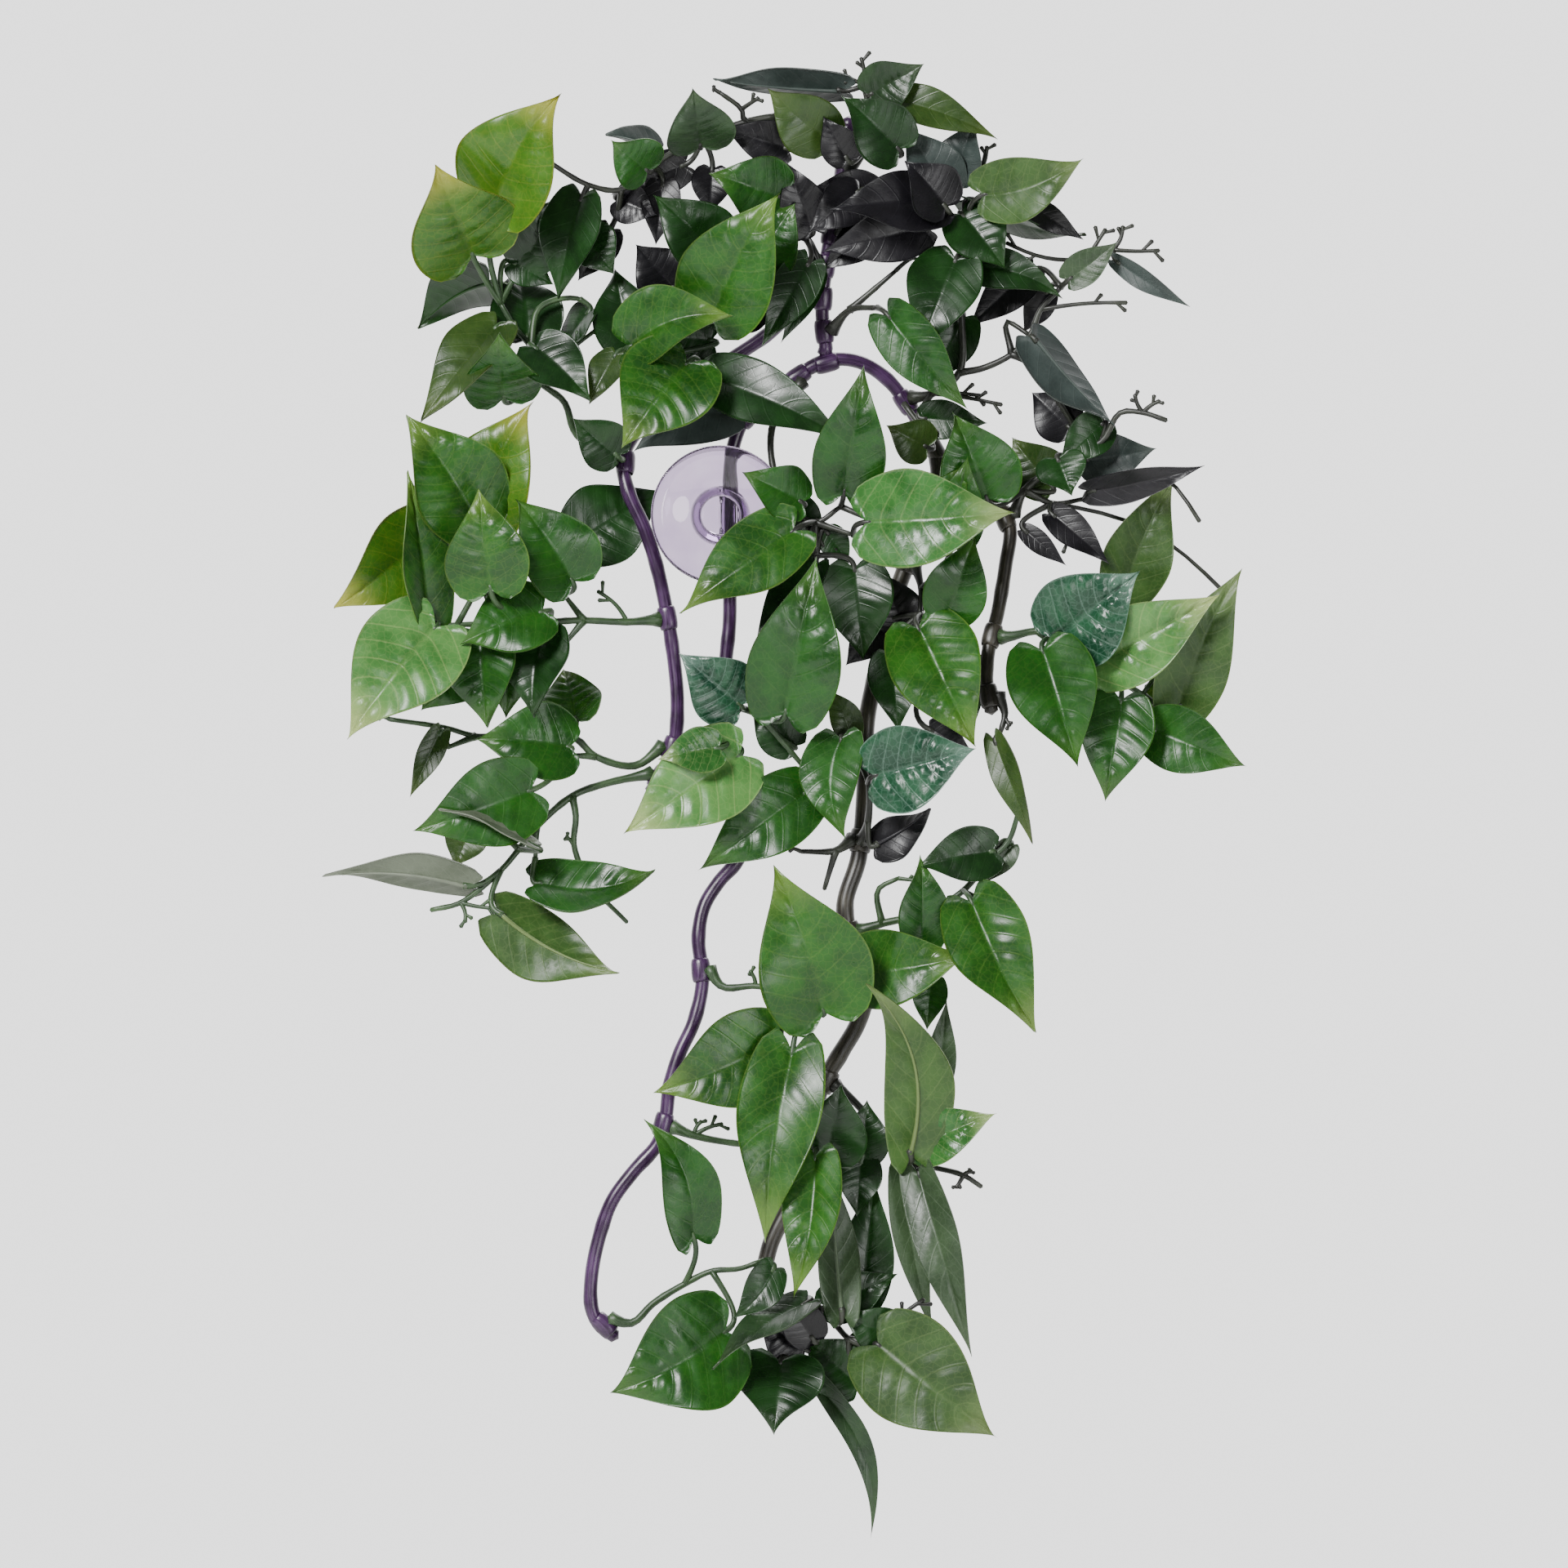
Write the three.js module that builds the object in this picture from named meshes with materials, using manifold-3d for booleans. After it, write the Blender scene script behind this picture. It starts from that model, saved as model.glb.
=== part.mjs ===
// An artificial hanging philodendron vine, held to glass by a clear suction cup.
// Millimetres. The origin is the centre of the cup's face, which looks along -Y, and +Z is up.
// Each vine stem is one piece, and each leafy spray is a moulded piece that slides onto a stem.

import * as THREE from "three";
import { mergeVertices } from "three/addons/utils/BufferGeometryUtils.js";
import Module from "manifold-3d";

const wasm = await Module();
wasm.setup();

// Driving sizes
const VINE_RADIUS = 1.95;
const RIGHT_VINE_RADIUS = 2.4;
const VINE_SIDES = 7;
const VINE_STEP = 7;
const RUNNING_GAP = 0.6;
const SLEEVE_WALL = 1.7;
const SLEEVE_LENGTH = 5;
const SOCKET_DEPTH = 5.5;
const SOCKET_LENGTH = 9.5;
const SOCKET_FLOOR_GAP = 0.4;
const STEM_RADIUS = 1.05;
const STALK_RADIUS = 0.72;
const TWIG_RADIUS = 0.6;
const BLADE_THICKNESS = 0.7;
const FLATNESS = 0.005;
const LOBE_REACH = 0.11;
const WIDEST_AT = 0.27;
const SHOULDER = 0.45;
const TIP_TAPER = 1.35;
const LONG_LEAF = 36;
const SMALL_LEAF = 24;
const LONG_LEAF_ROWS = [0, 0.12, 0.34, 0.62, 0.86, 1];
const LEAF_ROWS = [0, 0.15, 0.46, 0.8, 1];
const SMALL_LEAF_ROWS = [0, 0.2, 0.62, 1];
const CUP_RADIUS = 15;
const CUP_LIP_INNER_RADIUS = 12.4;
const CUP_HOLLOW_DEPTH = 2.8;
const CUP_KNOB_RADIUS = 5.5;
const CUP_KNOB_START = 7.2;
const CUP_KNOB_END = 14;
const CUP_SIDES = 20;

// Colours seen on the real thing
const LEAF_GREEN = 0x3f7a2c;
const VINE_PURPLE = 0x3d2a3f;
const VINE_BROWN = 0x4a463c;
const CLEAR_CUP = 0xd9d6d8;

// Routes of the vine stems, from where each one is held to its free end: x, y, z
const VINES = {
  centre_vine: {
    radius: VINE_RADIUS,
    colour: VINE_PURPLE,
    route: [
      [45.6, 14, 15.9], [40.3, 14, 24.7], [35.9, 13.5, 30], [29.7, 13, 33.6], [22.7, 12.5, 33.6],
      [13.8, 12, 28.3], [5.9, 11.2, 22.1], [2.8, 10.6, 15], [2, 10.4, 5.3], [2, 10, -12.3],
      [2, 9.5, -22.9], [1.1, 9, -33.5], [1.8, 8, -47.6], [6, 6, -63.5], [4.1, 5, -74.1],
      [-0.3, 4, -79.4], [-3.5, 3, -84.7], [-4.7, 2, -91.7], [-3.8, 1, -100.5], [-5.6, 0, -109.4],
      [-8.8, -1, -116.5], [-10.9, -1.5, -123.5], [-11.8, -2, -130.6], [-13.5, -2, -135.9],
      [-18.8, -2.5, -142], [-23.3, -3, -148.2], [-25.9, -3, -155.3], [-27.7, -3.5, -164.1],
      [-27.7, -4, -171.2], [-25.9, -4, -175], [-22.6, -4, -177.4],
    ],
  },
  right_vine: {
    radius: RIGHT_VINE_RADIUS,
    colour: VINE_BROWN,
    plugged: "centre_vine",
    route: [
      [47.1, 14, 13.2], [47.3, 14, 7.5], [42.9, 13.5, -4.4], [37.9, 13, -17.6], [34.9, 12, -30],
      [31.8, 11, -44.1], [31.4, 9.5, -58.2], [30, 8, -74.1], [27, 7, -84.7], [29.3, 7, -95.3],
      [31.4, 8, -104.1], [29.7, 8.5, -110.3], [26.1, 9, -116.5], [21.7, 9.5, -124.4],
      [19.1, 9.5, -135.9], [15.5, 9, -148.2], [10.6, 8.5, -158.8], [9.4, 8, -169.4], [12.9, 8, -178.2],
    ],
  },
  trunk: {
    radius: VINE_RADIUS,
    colour: VINE_PURPLE,
    held: { by: "centre_vine", at: [23.6, 12.5, 33.8] },
    route: [
      [22.9, 12.5, 36.5], [22.1, 12.4, 44], [22.7, 12.2, 53], [24.4, 12, 63.5], [26.7, 12, 73.3],
      [27.9, 12, 86],
    ],
  },
  left_vine: {
    radius: VINE_RADIUS,
    colour: VINE_PURPLE,
    held: { by: "trunk", at: [22.4, 12.3, 49] },
    route: [
      [20.3, 14.3, 48.6], [16.5, 17.3, 46], [11.2, 20, 40.5], [-0.3, 22, 32.7], [-10.9, 19, 24.7],
      [-18, 14.5, 18.6], [-21.1, 11, 12.4], [-20, 9, 5.3], [-16.5, 8, -2.6], [-13.9, 8, -10.6],
      [-11.6, 8, -21.1], [-10, 7.5, -31.7], [-9.3, 7, -40.5], [-9.8, 7, -48.5], [-11.8, 7, -54.7],
      [-15, 7, -60],
    ],
  },
  side_vine: {
    radius: VINE_RADIUS,
    colour: VINE_BROWN,
    held: { by: "right_vine", at: [46.6, 14, 4.6] },
    route: [
      [49.6, 13.4, 5.2], [54, 11.5, 5.6], [59.7, 8, 3.2], [62.7, 6, -2.6], [61.8, 4, -10.6],
      [60, 2, -21.2], [58.2, 0, -28.2], [57.5, -1, -35.3], [58.6, -2, -42.5],
    ],
  },
};

// Sprays. points are x, y, z with the first one on the vine; stems run through points by number.
// A leaf is: point its stalk springs from, base x, y, z, tip x, y, z, width, then roll and V fold
// in degrees, bow and sideways sweep as shares of its length.
const SPRAYS = {
  upper_left_spray: {
    vine: "left_vine",
    points: [
      [-21, 11, 12.5], [-31.2, 9, 17.6], [-33.9, 8, 24.7], [-39.7, 7, 29.6], [-41, 6, 36.2],
      [-44.5, 6, 40.6], [-47.6, 6, 45.9], [-39.2, 8, 45], [-30.5, 10, 47], [-26, 11, 42],
    ],
    stems: [[0, 1, 2, 3, 4, 5, 6], [4, 7, 8, 9]],
    leaves: [
      [6, -48, -1, 67, -34, -12, 90.4, 22.5, -10, 14, 0.1, -0.05],
      [6, -53.6, 0, 56.2, -61.2, -14, 74.9, 24, 5, 8, 0.08, 0],
      [6, -50, 6, 50.3, -66, 17, 41, 16, 140, 10, 0.12, 0],
      [5, -41.8, 9, 38.5, -44.5, 18, 54, 16, 20, 12, 0.08, 0],
      [5, -48.3, 3, 40.6, -64.5, -6, 19.8, 14, 30, 12, 0.06, -0.02],
      [3, -46.8, 1, 25.4, -47.6, -9, 39, 16.5, 0, 8, 0.1, 0],
      [4, -40, 0, 36, -27.8, -5, 24.4, 13, -20, 12, 0.08, 0],
      [8, -28.3, 10, 44.2, -34, 11, 34, 11, 60, 10, 0.06, 0],
      [0, -22.5, 5, 13, -32, 1, 21, 11, 0, 10, 0.08, 0],
      [6, -42.6, 8, 55.1, -33.8, 6, 69.7, 13, 0, 12, 0.06, 0],
    ],
    twigs: [[3, -26, 9, 41], [9, -22.5, 9, 40]],
  },
  left_middle_spray: {
    vine: "left_vine",
    points: [
      [-11.2, 8, -24.5], [-20.1, 5, -23.1], [-29.5, 3, -22.8], [-37.2, 1.5, -23.1], [-48, 0, -23.5],
      [-56.8, -1, -23.8], [-63, -1, -24], [-33.9, 3, -17.1], [-33.9, 2, -28.2], [-42.4, -5, -22],
    ],
    stems: [[0, 1, 2, 3, 4, 5, 6], [2, 7], [2, 8], [3, 9]],
    leaves: [
      [4, -51.5, 3, -1.7, -40.2, -3, 24.4, 20, -15, 12, 0.08, -0.05],
      [5, -52.3, -3.5, -1.7, -67.6, -8, 21.4, 21, 15, 12, 0.1, 0],
      [6, -63, -3, -22.5, -67.2, -9, 9.4, 13.5, 35, 22, 0.06, -0.03],
      [6, -62, 4, -3, -83.5, 0, -20.3, 19, -20, 12, 0.08, 0],
      [9, -49.3, -12, -16.2, -51.8, -16, 5.3, 18, 0, 12, 0.1, 0],
      [7, -32, -3, -14.4, -44.1, -7, 3.2, 18, 20, 10, 0.1, 0],
      [7, -30.7, 11, -5.6, -12.9, 17.5, 5.5, 18, -10, 10, 0.06, 0],
      [6, -61.3, -6, -24.5, -80.1, -14, -48.7, 23, 10, 14, 0.1, 0],
      [5, -54.2, 4, -30, -64.8, 2, -42.4, 15, 0, 10, 0.08, 0],
      [4, -51.5, -5, -26.4, -50.1, -6, -46.2, 16, 15, 14, 0.06, 0],
      [3, -45.3, -1, -25.6, -46.2, -2, -44.1, 14, 0, 14, 0.06, 0],
      [8, -37.8, -5, -25.5, -40.1, -9, -44, 15, 20, 14, 0.06, 0.04],
      [3, -38.3, -7, -21.2, -55.9, -11, -28.2, 16.5, 20, 10, 0.08, 0],
    ],
    twigs: [[1, -26.5, 4, -16.5], [7, -60, 2, -14.5]],
  },
  left_lower_spray: {
    vine: "left_vine",
    points: [
      [-10.3, 7, -50.5], [-18.4, 6, -54.2], [-27, 4, -52.2], [-32, 3, -48], [-33.8, 2, -52],
      [-52.8, 4, -47.8], [-59.5, 4, -46], [-71.5, 3, -44.2], [-59, 3, -50.3],
    ],
    stems: [[0, 1, 2, 3, 5, 6, 7], [2, 4], [5, 8]],
    leaves: [
      [3, -31.2, 4, -44.5, -33.9, 13, -33.5, 13, 0, 8, 0.08, 0],
      [4, -32.5, -1, -50.3, -52.8, -5, -48.5, 17, 15, 10, 0.1, 0],
      [4, -40.9, -9, -59.6, -66, -14, -68.3, 18.5, -5, 12, 0.1, 0],
      [8, -60.5, 3, -47, -67.2, 2, -61.2, 6, 0, 20, 0.05, 0],
    ],
    twigs: [[7, -74, 3, -43.6]],
  },
  left_hanging_spray: {
    vine: "left_vine",
    points: [
      [-14.5, 7, -59.2], [-25.2, 5, -58.2], [-32, 3, -60.8], [-39.8, 1, -67.6], [-43.5, 0, -72.3],
      [-47.4, -1, -76.9], [-56, -3, -83.8], [-62.4, -3, -85.4], [-31.2, 2, -65.3], [-31.6, 2, -71.5],
      [-28.2, 1, -79.5], [-20.1, 0, -88.1], [-39.9, 0, -74.1],
    ],
    stems: [[0, 1, 2, 3, 4, 5, 6, 7], [2, 8, 9, 10, 11], [3, 12]],
    leaves: [
      [4, -54.2, 5, -67.9, -57.5, 4, -76.4, 9, 0, 12, 0.08, 0],
      [4, -40.6, 0, -71.3, -60.4, -1, -63.5, 12, 68, 12, 0.06, 0],
      [5, -54.6, -3, -79, -86, 0, -76.9, 13.5, 135, 12, 0.02, 0],
      [5, -47.6, -5, -86.1, -21.5, -11, -98.8, 16, 160, 12, 0.08, -0.05],
      [12, -39.1, -2, -79.7, -13.9, -6, -76.6, 15, -40, 14, 0.02, 0.16],
    ],
    twigs: [[6, -49.2, -4, -85], [6, -55, -4, -88], [9, -33.3, 2, -69.5]],
  },
  top_left_spray: {
    vine: "trunk",
    points: [
      [27.6, 12, 80.4], [19, 10, 85], [12, 9, 86.5], [-3.9, 8, 82], [-14.5, 6, 75.9],
      [-21.5, 5, 70.5], [-28.6, 4, 71.5], [-37.8, 1, 76.8], [5.3, 8, 85.5], [4.6, 7, 88],
      [0, 6, 91.5],
    ],
    stems: [[0, 1, 2, 3, 4, 5, 6, 7], [2, 8, 9, 10]],
    leaves: [
      [4, -15.9, 2, 74.5, -23.6, -4, 80.8, 12, 0, 10, 0.1, 0],
      [4, -13.6, 9, 79, -25, 13, 83, 10, 120, 10, 0.08, 0],
      [3, -4.4, 4, 80, -6, -4, 92.1, 15, 10, 12, 0.1, 0],
      [6, -29.8, 4, 68.7, -35.1, 6, 46.8, 14, 25, 14, 0.06, 0],
      [6, -29.4, 6, 60.9, -22.9, 4, 52.1, 11, 0, 12, 0.06, 0],
      [5, -22, 9, 68.5, -13.5, 7, 65, 9, 0, 12, 0.06, 0],
    ],
    twigs: [[10, -1.5, 6, 92.6], [9, 8.3, 5, 90.3]],
  },
  top_centre_spray: {
    vine: "trunk",
    points: [
      [23.2, 12, 56.8], [18.2, 10, 60.5], [10.2, 9, 55], [3.1, 8, 46], [1, 8, 54], [-7, 10, 49],
    ],
    stems: [[0, 1, 2, 3], [2, 4, 5]],
    leaves: [
      [1, 13, 5, 68.9, -2.4, -1, 73.8, 15, 0, 10, 0.1, 0],
      [4, -0.4, 6, 55.5, -14.5, 2, 69.2, 16, 15, 10, 0.1, 0],
      [3, -1.7, 0, 43.1, 13.1, -9, 69.2, 21, 0, 12, 0.1, -0.04],
      [2, 7.7, 6, 54.7, 16.5, 4, 67.8, 15, -10, 10, 0.06, 0],
      [5, -10, 14, 49.4, -18.5, 12, 59, 13, 0, 10, 0.06, 0],
      [1, 19.1, 5, 54.4, 8.9, 0, 36.2, 10, 0, 12, 0.06, 0],
    ],
    twigs: [[1, 14.5, 7, 64]],
  },
  heart_spray: {
    vine: "centre_vine",
    points: [
      [6.5, 11, 22.8], [2, 7, 27.4], [-4, 4, 31], [-12, 4, 34.5], [-17.5, 4, 35],
    ],
    stems: [[0, 1, 2, 3, 4]],
    leaves: [
      [4, -19.4, -2, 36.2, 2.8, -8, 42.7, 18, -20, 26, 0.1, -0.08],
      [2, -7, -5, 32.5, -21.2, -13, 13.8, 22, 10, 14, 0.1, 0],
      [1, 2, 2, 22.1, -18.8, -5, 13.3, 13, 10, 10, 0.06, 0.08],
      [2, -1.5, 0, 29.2, 27.5, -7, 15.9, 14, -15, 14, 0.1, 0],
      [3, -2, 9, 38, -15.4, 8, 39.7, 13, 0, 10, 0.06, 0],
      [4, -19.4, 8, 36.6, -23, 12, 53.8, 14, 0, 12, 0.08, 0],
    ],
    twigs: [],
  },
  crown_spray: {
    vine: "trunk",
    points: [[26.6, 12, 72.4], [31, 7, 79], [32, 5, 88], [31, 5, 93]],
    stems: [[0, 1, 2, 3]],
    leaves: [
      [3, 32.5, 4, 91, 44.1, 0, 97.4, 11, 0, 12, 0.08, 0],
      [1, 38.5, 0, 79, 26.1, -5, 90.3, 14, 10, 10, 0.1, 0],
      [2, 35.5, 3, 90, 60, 2, 81.2, 9, -15, 14, 0.04, -0.04],
      [3, 26.1, 6, 92, -1.6, 3, 94.4, 11, 125, 14, 0.02, 0.05],
      [1, 23, 5, 81.5, 10.2, 1, 92.3, 13.5, -10, 12, 0.1, 0],
    ],
    twigs: [[3, 30.5, 5, 99], [3, 27, 5, 94.8]],
  },
  upper_fan_spray: {
    vine: "trunk",
    points: [
      [24.8, 12, 64.6], [35, 10, 70.5], [45, 10, 70.5], [50.5, 10, 71], [56.5, 8, 75], [57.5, 8, 78.5],
    ],
    stems: [[0, 1, 2, 3, 4, 5]],
    leaves: [
      [3, 50.8, 8, 73.2, 55.6, 5, 85.5, 11, -20, 14, 0.08, 0],
      [2, 49, 6, 70.3, 39.7, 5, 84, 12.5, 10, 14, 0.08, 0],
      [2, 48.5, -1, 66.5, 39.9, -4, 76.3, 13, 20, 12, 0.08, 0],
      [2, 47.4, 2, 67.1, 23.5, -5, 65.7, 14, 20, 12, 0.08, 0],
      [1, 44, 5, 62.3, 21.8, 3, 56.9, 12, 0, 12, 0.06, 0],
      [1, 33.6, 7, 68.3, 18.2, 6, 70.3, 12, 0, 12, 0.06, 0],
    ],
    twigs: [[4, 57.8, 8, 80]],
  },
  cross_spray: {
    vine: "trunk",
    points: [[22.3, 12.4, 41.6], [28, 8, 44.5], [34, 2, 44.8], [24, 9, 55], [38, 7, 53]],
    stems: [[0, 1, 2], [1, 4]],
    leaves: [
      [2, 36.4, -2, 42.8, 53.5, -3, 22.6, 12.5, 10, 12, 0.08, 0],
    ],
    twigs: [[4, 42, 6, 56]],
  },
  right_upper_spray: {
    vine: "centre_vine",
    points: [
      [39.2, 13.9, 26.1], [46, 10, 26.5], [51.8, 9, 31], [52.3, 9, 44.2], [52.1, 9, 56],
      [53.5, 8, 62], [57, 9, 32], [63.2, 8, 35], [67.1, 7, 39], [69.4, 7, 44.6], [73.8, 6, 49.4],
      [62, 9, 42], [68, 8, 32.5], [79.5, 7, 55.5], [85, 6, 57.5],
    ],
    stems: [[0, 1, 2, 3, 4, 5], [2, 6, 7, 8, 9, 10, 13, 14], [7, 11, 8], [7, 12]],
    leaves: [
      [5, 57.1, 1, 69.2, 78.4, -4, 76.8, 14.5, -8, 14, 0.1, 0],
      [5, 54.4, 8, 68.5, 79.5, 12, 60.9, 12, 74, 14, 0.06, 0],
      [4, 51, 2, 55.1, 42.9, -3, 34.9, 16, 10, 14, 0.08, 0],
      [5, 52.3, 4, 65, 61.7, 1, 53, 14, -10, 12, 0.08, 0],
      [4, 53.5, 5, 53, 74.1, 3, 46.8, 8.5, -15, 16, 0.06, -0.1],
      [0, 44.6, 6, 14.8, 35.9, 3, 19.4, 10, 0, 12, 0.08, 0],
      [10, 67.6, 11, 53, 53.8, 13, 40.9, 9.5, 10, 12, 0.06, 0],
      [10, 75.6, 3, 51, 86.1, 1, 59.1, 6, 0, 16, 0.06, 0],
      [14, 86, 5, 55, 101.7, 3, 45, 6, 20, 16, 0.06, 0],
      [12, 69.5, 4, 36.5, 85.2, 1, 21.4, 14, 140, 12, 0.08, 0.04],
      [12, 75.9, 13, 19.1, 67.6, 15, 27, 11, 0, 10, 0.06, 0],
    ],
    twigs: [[14, 87.2, 6, 62.6], [13, 83.5, 7, 62], [14, 95, 5, 57.3], [1, 56.5, 9, 26], [1, 61, 8, 24]],
  },
  right_fan_spray: {
    vine: "side_vine",
    points: [
      [60.8, 7.4, 1.4], [66, 6, 5.5], [75.5, 5, 12.4], [82.6, 4, 16], [86.5, 3, 22.1],
      [91.4, 2, 22.1], [96.5, 1, 20.4], [72, 7, 2.6], [79, 6, 3.6],
    ],
    stems: [[0, 1, 2, 3, 4, 5, 6], [1, 7, 8]],
    leaves: [
      [1, 57.5, 0, 3.6, 50, -5, 22.1, 18, 10, 10, 0.1, 0],
      [1, 72, 8, 6.2, 63.2, 10, 17, 12, -10, 12, 0.06, 0],
      [3, 79.1, 9, 12, 94.6, 8, 14.5, 11, 10, 12, 0.06, 0],
      [2, 73, 1, 12, 76, -2, 4, 11, 0, 12, 0.08, 0],
      [8, 80.5, 3, 5.3, 104.7, -2, 10.6, 9, 20, 16, 0.06, 0],
      [7, 72, 4, 0, 84.1, 2, -10.6, 7.5, -10, 16, 0.06, 0],
    ],
    twigs: [[5, 89.7, 2, 26], [5, 95, 1, 24.6], [7, 76, 5, -6], [8, 103.5, -2, -1.5]],
  },
  hub_spray: {
    vine: "centre_vine",
    points: [
      [14.2, 12, 28.6], [11.5, 7, 20], [11.4, 5, 10.6], [15, 3, 2.5], [20.5, 2, -1.6],
      [26.1, 1, 1.8], [28.8, 0, -4.4], [20.8, 2, -8.8],
    ],
    stems: [[0, 1, 2, 3, 4, 5], [4, 6], [4, 7]],
    leaves: [
      [5, 26.8, -2, 4.8, 31, -9, 32.1, 17, 0, 12, 0.1, 0],
      [3, 17.5, -3, 2.6, 4.8, -8, 9, 12, 10, 12, 0.08, 0],
      [4, 15.8, -6, -3.7, -8.8, -10, -21.5, 16.5, 18, 12, 0.1, -0.03],
      [6, 31.8, -8, -1.8, 63.6, -14, 0, 21, -8, 12, 0.1, 0.02],
      [7, 29, 3, -11.5, 31, 3, -31.6, 15.5, 0, 12, 0.06, 0],
      [7, 20.4, 2, -11, 7.1, 0, -31.4, 10, 25, 12, 0.06, 0],
    ],
    twigs: [[4, 24, 3, -9]],
  },
  right_heart_spray: {
    vine: "right_vine",
    points: [[40.6, 13, -10.6], [43.5, 7, -15.9], [43.2, 4, -21.5], [49.5, 5, -27]],
    stems: [[0, 1, 2], [2, 3]],
    leaves: [
      [1, 50.2, -2, -6, 53.4, -8.5, 12.4, 12, 0, 12, 0.04, 0],
      [2, 49.1, -2, -21.5, 55.2, -5, -4.4, 13.5, 0, 12, 0.1, 0],
      [2, 42.8, -2, -24.7, 55.2, -7, -50.3, 20.5, 0, 18, 0.1, 0],
      [3, 53, 6, -30.4, 54.8, 4, -47, 8, 0, 12, 0.06, 0],
      [2, 37.1, 5, -30.6, 38.6, 3, -47.1, 11, 0, 12, 0.06, 0],
      [2, 40, 7.5, -24.3, 34.7, 8, -12, 11, 0, 12, 0.02, 0],
    ],
    twigs: [],
  },
  middle_spray: {
    vine: "centre_vine",
    points: [
      [1.1, 9, -37], [4.1, 3, -41.5], [8.5, 0, -43.4], [0.6, -2, -48], [13, 0, -48.5],
      [18.5, 1, -55],
    ],
    stems: [[0, 1, 2, 4, 5], [1, 3]],
    leaves: [
      [2, 14.1, -7, -42.7, 20.8, -11, -9.2, 20, 0, 14, 0.1, 0],
      [1, 4.1, -3, -41, -8.8, -8, -30, 15, 0, 12, 0.1, 0],
      [3, 4.1, -5, -52, -20.8, -11, -69, 20, 0, 12, 0.1, 0],
      [5, 18.6, -1, -60, -4.9, -4, -76.9, 16, 0, 12, 0.1, 0],
      [3, -0.5, -10, -50.5, -13.4, -12, -52.9, 10, 10, 12, 0.1, 0],
      [4, 15.9, 3, -50, 6.5, 5, -42, 10, 0, 12, 0.06, 0],
    ],
    twigs: [[3, -4, -2, -51]],
  },
  right_middle_spray: {
    vine: "right_vine",
    points: [
      [30.4, 8.4, -70], [25, 4, -72.6], [17.5, 3, -72.8], [32, 1, -66], [32, -3, -58], [29, 0, -51],
      [22.5, 4, -81],
    ],
    stems: [[0, 1, 2], [0, 3, 4, 5], [1, 6]],
    leaves: [
      [5, 26.2, -3, -48.5, 27.2, -7, -70.2, 13.5, 10, 12, 0.08, 0.12],
      [4, 33.4, -6, -56.4, 55.3, -10, -50.6, 18.5, 0, 12, 0.1, 0],
      [3, 33.5, 1, -71.5, 45.6, -1, -63.5, 10, 150, 12, 0.08, 0],
      [5, 28.3, 1, -48, 22.6, 2, -37.5, 7, 0, 16, 0.1, 0.08],
    ],
    twigs: [[2, 15, 3, -72]],
  },
  right_edge_spray: {
    vine: "side_vine",
    points: [
      [58.1, 0, -28.6], [63.2, -1, -26.2], [68.3, -1, -25.2], [72, -2, -26.4], [78.2, 2, -31],
      [86.1, 3, -35.5], [91.4, 3, -38.8], [61.5, -3, -44], [62.3, -3, -46],
    ],
    stems: [[0, 1, 2, 3, 4, 5, 6]],
    leaves: [
      [2, 72.8, -4, -26.6, 90.5, -10, -12.3, 18, 0, 12, 0.1, 0],
      [3, 69.5, -7, -29.5, 77.1, -11, -54.7, 20, 0, 22, 0.1, 0],
      [4, 80.5, -2, -32.1, 107.7, -8, -17.3, 17, 5, 12, 0.1, 0],
      [6, 99.4, 4, -41.5, 112.8, -1, -11.6, 15.5, 10, 14, 0.08, -0.06],
      [5, 92.5, 8, -39.5, 107, 10, -47.6, 9.5, 0, 12, 0.06, 0],
      [6, 93.5, 1, -46.5, 113.7, -2, -54.4, 14, 0, 12, 0.1, 0],
      [5, 86.5, -3, -40.2, 83, -6, -62.1, 16, 0, 14, 0.1, 0],
      [5, 87.6, 9, -16.6, 98.2, 8, 8.3, 15, 15, 14, 0.06, -0.05],
    ],
    twigs: [[6, 98.8, 4, -31]],
  },
  side_tip_spray: {
    vine: "side_vine",
    points: [[58.2, -1.7, -39.6], [61.5, -2, -43], [60.5, -3, -47]],
    stems: [[0, 1, 2]],
    leaves: [
      [2, 59.5, -3.5, -49, 67.4, -6, -71.2, 7, 30, 18, 0.05, -0.04],
    ],
    twigs: [[1, 62.6, -3, -45.6]],
  },
  right_lower_spray: {
    vine: "right_vine",
    points: [
      [28.6, 7, -92], [35, 4, -88.4], [41, 3, -87], [47.3, 2, -84.7], [52.6, 1, -81.2],
      [58.8, 0, -74.1], [62.3, 0, -70.6], [34.1, 4, -81.2], [38.5, 3, -78.6], [65, -1, -62],
    ],
    stems: [[0, 1, 2, 3, 4, 5, 6, 9], [1, 7, 8]],
    leaves: [
      [0, 28.8, 0, -97.9, 54.1, -8, -94.9, 15, -10, 12, 0.1, 0.05],
      [4, 56.2, -3, -83.8, 68.2, -7, -111.8, 17, 12, 16, 0.1, 0.04],
      [3, 43.4, -2, -92.5, 43.2, -4, -73.4, 10, 15, 16, 0.08, 0],
      [5, 58.8, -1, -72.7, 42.1, -4, -76.2, 12, 10, 12, 0.08, 0],
      [6, 62.8, 2, -71.5, 57.3, 2, -79.7, 6, 0, 18, 0.06, 0],
    ],
    twigs: [[8, 42, 2, -79], [4, 64, 1, -86]],
  },
  bright_spray: {
    vine: "centre_vine",
    points: [
      [-3.9, 1, -101.6], [0.6, -1, -102], [7.7, -2, -101.8], [14, -3, -103.2], [18, -4, -105],
      [12.1, -3, -107],
    ],
    stems: [[0, 1, 2, 3, 4], [3, 5]],
    leaves: [
      [4, 22.3, -6, -107.3, 11.5, -13, -75.5, 21.5, 0, 12, 0.1, 0.05],
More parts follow.
